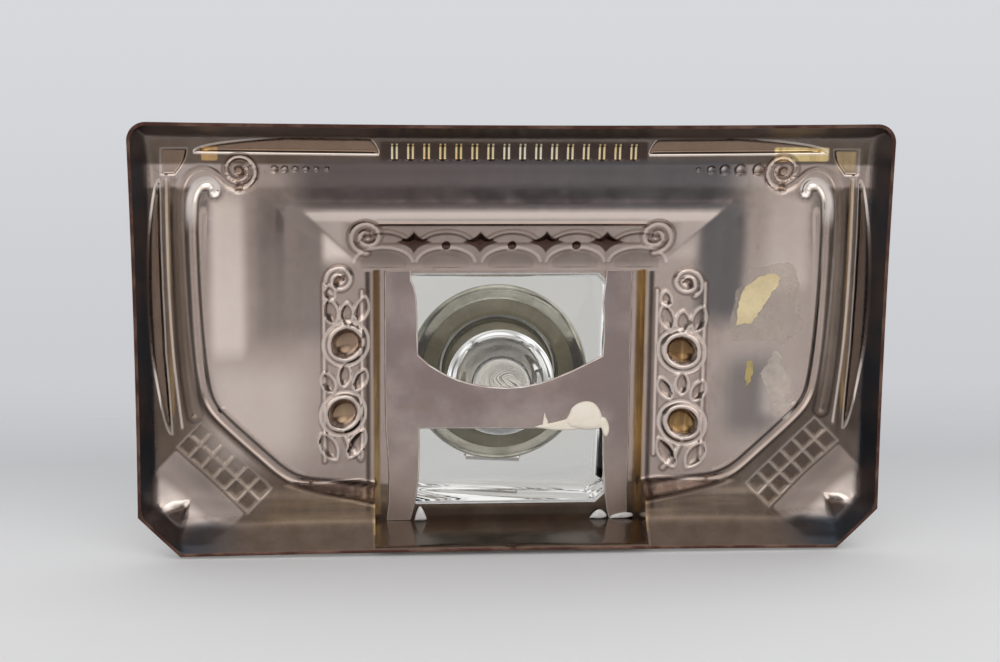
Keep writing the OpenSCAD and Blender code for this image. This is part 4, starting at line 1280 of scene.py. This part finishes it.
def mottled(name, colours, grain, reach, gloss, gloss_reach, dents=None, cover=None, metal=0.0):
    """Material in two colours that a noise mixes.

    grain, gloss and dents start with the scale of their noise; reach is where grain turns from the first
    colour to the second, gloss_reach the roughness, dents ends with its depth and strength, and cover is
    how much a patchy film covers.
    """
    n = Paint(name)
    inputs = {"Base_Color": n.mix(n.noise(*grain).ramp(*reach), *colours), "Metallic": metal}
    if dents:
        n.bump(n.noise(*dents[:-2]), *dents[-2:])
    if cover:
        inputs["Alpha"] = n.noise(110, 5, 0.6).ramp(0.33, 0.62, cover * 0.4, cover)
    return n.finish(Roughness=n.noise(*gloss).ramp(0.3, 0.7, *gloss_reach), **inputs)


def brown_edge():
    """Cut edge of the sheet, where the plating has gone and the brass has browned."""
    colours = (0.085, 0.04, 0.033), (0.17, 0.10, 0.075)
    return mottled("cut_edge", colours, (120, 4), (0.4, 0.65), (300, 2), (0.35, 0.55), metal=1.0)


def dressed_edge():
    """Bevelled edge of the plate, painted nearly white as a highlight."""
    colours = (0.94, 0.88, 0.84), (0.62, 0.53, 0.49)
    return mottled("dressed_edge", colours, (160, 4, 0.6), (0.35, 0.65), (300, 2), (0.4, 0.55), metal=1.0)


def spun_metal():
    """Collar: plated brass with turning marks and a dull yellow-grey bloom."""
    colours, marks = ((0.30, 0.285, 0.22), (0.50, 0.48, 0.41)), (900, 2, 0.5, (1, 1, 6), 0.0001, 0.3)
    return mottled("spun_metal", colours, (90, 4, 0.6), (0.35, 0.7), (300, 4), (0.08, 0.16), marks, metal=1.0)


def steel_wire():
    colours = (0.42, 0.40, 0.38), (0.24, 0.21, 0.18)
    return mottled("steel_wire", colours, (300, 4), (0.4, 0.7), (500, 2), (0.25, 0.4), metal=1.0)


def plaster(name, *colours):
    grains = (700, 5, 0.65, 0.0002, 0.5)
    return mottled(name, colours, (260, 5, 0.6), (0.4, 0.72), (90, 2), (0.75, 0.92), grains)


def old_paper():
    colours, fibres = ((0.78, 0.66, 0.40), (0.62, 0.49, 0.29)), (900, 4, 0.55, 0.0002, 0.5)
    return mottled("old_paper", colours, (90, 5, 0.7), (0.35, 0.7), (200, 2), (0.6, 0.85), fibres)


def dried_paste(name, cover, *colours):
    """Thin, patchy film through which the metal shows in places."""
    return mottled(name, colours, (260, 5, 0.7), (0.35, 0.7), (200, 2), (0.45, 0.7), cover=cover)


# ---------------------------------------------------------------- the object


def dress(obj, materials, body, slot, *stands_for):
    """Gives a piece its materials and says what it rides on and which CAD nodes it stands for."""
    kinds = np.zeros(len(obj.data.polygons), int)
    obj.data.polygons.foreach_get("material_index", kinds)
    obj.data.materials.clear()
    for material in materials if isinstance(materials, tuple) else (materials,):
        obj.data.materials.append(material)
    obj.data.polygons.foreach_set("material_index", kinds)
    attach(obj, body)
    if stands_for:
        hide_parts(*stands_for)


top_silver = polished_silver("top_silver", (0.25, 0.2, 0.16), (0.72, 0.68, 0.62), True)
lid_silver = polished_silver("lid_silver", (0.4, 0.36, 0.3), (0.76, 0.73, 0.68), False)
wire = steel_wire()
cream = plaster("cream_plaster", (0.97, 0.90, 0.79), (0.92, 0.83, 0.69))
white = plaster("white_plaster", (0.88, 0.87, 0.86), (0.72, 0.71, 0.70))
grey_paste = dried_paste("grey_paste", 0.42, (0.56, 0.48, 0.41), (0.67, 0.58, 0.51))
yellow_paste = dried_paste("yellow_paste", 0.9, (0.52, 0.40, 0.14), (0.42, 0.33, 0.16))
pale_paste = dried_paste("pale_paste", 0.6, (0.66, 0.57, 0.50), (0.74, 0.66, 0.59))

dress(build_tray(), (top_silver, tarnished_silver(), brown_edge()), "base", "silver_plate", "tray")
dress(build_plate(), (plate_metal(), dressed_edge()), "base", "tinned_sheet", "well_plate")
dress(build_glass(), clear_glass(), "base", "clear_glass", "glass_block")
dress(build_collar(), spun_metal(), "base", "polished_plate", "collar")
dress(build_cement(), cement_paste(), "base", "cement", "collar_cement")
bar_dab, left_dab, right_dab = build_dabs()
dress(bar_dab, cream, "base", "plaster", "plaster_bar_dab")
dress(left_dab, white, "base", "plaster", "plaster_left_dab")
dress(right_dab, white, "base", "plaster", "plaster_right_dab")
for scrap, material in zip(build_label_scraps(), (old_paper(), grey_paste, yellow_paste, pale_paste)):
    dress(scrap, material, "base", "plaster")
dress(build_lid(), lid_silver, "lid", "polished_plate", "lid")
dress(build_finial(), lid_silver, "lid", "polished_plate", "finial")

# CAD nodes that stay in view as they are.
KEPT_NODES = {white: ("glass_bedding",), lid_silver: ("collar_knuckles", "lid_knuckle")}
KEPT_NODES[wire] = ("hinge_pin", "finial_rivet", "finial_washer")
for material, names in KEPT_NODES.items():
    for name in names:
        nodes[name].data.materials.clear()
        nodes[name].data.materials.append(material)


# ---------------------------------------------------------------- stage and light


def plane(name, centre, normal, size, up, material):
    """Rectangle that faces along its normal."""
    n = Vector(normal)
    side = n.cross(Vector(up)).normalized()
    over = side.cross(n).normalized()
    w, h = [v * MM / 2 for v in size]
    signs = ((-1, -1), (1, -1), (1, 1), (-1, 1))
    corners = [Vector(centre) * MM + side * w * a + over * h * b for a, b in signs]
    mesh = bpy.data.meshes.new(name)
    mesh.from_pydata(corners, [], [(0, 1, 2, 3)])
    if mesh.polygons[0].normal.dot(n) < 0:
        mesh.flip_normals()
    mesh.materials.append(material)
    obj = bpy.data.objects.new(name, mesh)
    bpy.context.scene.collection.objects.link(obj)


def one_sided_floor(name, near, far, camera_only=False, fade=None):
    """Pale matt floor that is seen from its front only, so that it never hides the object from behind.

    near and far are its colours below and above, towards the camera and behind the object, and a brighter
    near colour is painted light that falls off away from the camera; fade is the pair of heights between
    which it gives way to the backdrop.
    """
    g = Graph(bpy.data.materials.new(name))
    g.tree.nodes.clear()
    hidden = g.add("ShaderNodeNewGeometry", output="Backfacing")
    height = g.add("ShaderNodeSeparateXYZ", g.add("ShaderNodeNewGeometry", output="Position"), output="Z")
    if camera_only:
        seen = g.add("ShaderNodeLightPath", output="Is Camera Ray")
        hidden = g.math("MAXIMUM", hidden, g.math("SUBTRACT", 1.0, seen))
    if fade:
        hidden = g.math("MAXIMUM", hidden, height.ramp(fade[0] * MM, fade[1] * MM))
    matt = g.add("ShaderNodeBsdfDiffuse", g.mix(height.ramp(-0.05, 0.11, shape="LINEAR"), near, far))
    clear = g.add("ShaderNodeBsdfTransparent")
    both = g.add("ShaderNodeMixShader", hidden, matt, clear)
    g.put(both, g.tree.nodes.new("ShaderNodeOutputMaterial").inputs["Surface"])
    return g.owner


BACKDROP_TOP = (0.675, 0.69, 0.715)
BACKDROP_SIDE = (0.60, 0.61, 0.635)
ROOM = (0.13, 0.125, 0.125)
SKY = (0.535, 0.53, 0.515)
# (direction, radius of the even part and of the whole soft light in degrees, colour)
SOFT_LIGHTS = [
    ((0, 0.1, -1), 26, 52, (0.74, 0.72, 0.71)),
    ((0, 1, -0.25), 30, 58, (0.72, 0.71, 0.705)),
    ((0, -0.75, -0.66), 14, 40, (1.7, 1.68, 1.65)),
    ((-0.66, -0.25, -0.7), 6, 22, (1.5, 1.48, 1.45)),
    ((0.7, -0.3, -0.65), 6, 22, (1.5, 1.48, 1.45)),
    ((0.78, -0.42, 0.46), 12, 32, (1.2, 1.2, 1.2)),
    ((-0.2, -0.96, -0.05), 24, 52, (1.1, 1.1, 1.1)),
    ((-0.8, 0.3, 0.55), 10, 35, (1.2, 1.22, 1.26)),
]
# (left, right, top, bottom and softness as tangents from the view straight down, share of darkness)
DARK_SHAPES = [
    (-0.052, 0.222, 0.08, 0.21, 0.012, 0.68),
    (-0.03, 0.205, 0.075, 0.128, 0.014, 0.75),
]
DARK_TONE = (0.04, 0.038, 0.042)


def build_world():
    """Pale studio all round with a few large soft lights in it."""
    g = Graph(bpy.data.worlds.new("studio"))
    direction = g.add("ShaderNodeTexCoord", output="Generated")
    x, y, z = [g.add("ShaderNodeSeparateXYZ", direction, output=axis) for axis in "XYZ"]
    room = g.mix(z.ramp(0.1, 0.5), ROOM, SKY)
    for axis, *angles, colour in SOFT_LIGHTS:
        even, whole = [math.cos(math.radians(angle)) for angle in angles]
        towards = Vector(axis).normalized()
        dot = g.add("ShaderNodeVectorMath", direction, towards, output="Value", operation="DOT_PRODUCT")
        room = g.mix(dot.ramp(whole, even), room, colour)
    # The photographer and the camera, as dark shapes that the metal mirrors.
    ahead = g.math("MAXIMUM", z * -1.0, 0.2)
    for left, right, top, bottom, soft, share in DARK_SHAPES:
        inside = z.ramp(-0.6, -0.5, 1, 0)
        for value, low, high in ((x / ahead, left, right), (y / ahead, top, bottom)):
            inside = inside * value.ramp(low - soft, low + soft) * value.ramp(high - soft, high + soft, 1, 0)
        room = g.mix(inside * share, room, DARK_TONE)
    backdrop = g.mix(y.ramp(0.0, 0.22), BACKDROP_TOP, BACKDROP_SIDE)
    seen = g.add("ShaderNodeLightPath", output="Is Camera Ray")
    g.put(g.mix(seen, room, backdrop), g.tree.nodes["Background"].inputs["Color"])
    return g.owner


bpy.context.scene.world = build_world()
# This floor is painted brighter towards the camera, a painted falloff of light.
photo_floor = one_sided_floor("photo_floor", (0.85, 0.855, 0.87), (0.60, 0.61, 0.63), fade=(60, 260))
plane("photo_floor", (0, HALF_D + 0.6, 0), (0, -1, 0), (12000, 1200), (0, 0, 1), photo_floor)
desk = one_sided_floor("desk", (0.66, 0.66, 0.67), (0.66, 0.66, 0.67), camera_only=True)
plane("desk", (0, 0, -0.3), (0, 0, 1), (9000, 9000), (0, 1, 0), desk)


# ---------------------------------------------------------------- camera

camera_data = bpy.data.cameras.new("camera")
camera_data.sensor_width = 36.0
camera_data.lens = 64.8
camera_data.clip_start = 0.01
camera_data.clip_end = 50
camera = bpy.data.objects.new("camera", camera_data)
bpy.context.scene.collection.objects.link(camera)
right = Vector((0.99715242, -0.00894538, -0.07488017))
up = Vector((0.00534999, -0.98204675, 0.18856184))
turn = Matrix((right, up, right.cross(up))).transposed().to_4x4()
camera.matrix_world = Matrix.Translation(Vector((-42.916, -100.015, -501.863)) * MM) @ turn
bpy.context.scene.camera = camera

bpy.context.scene.view_settings.view_transform = "Standard"
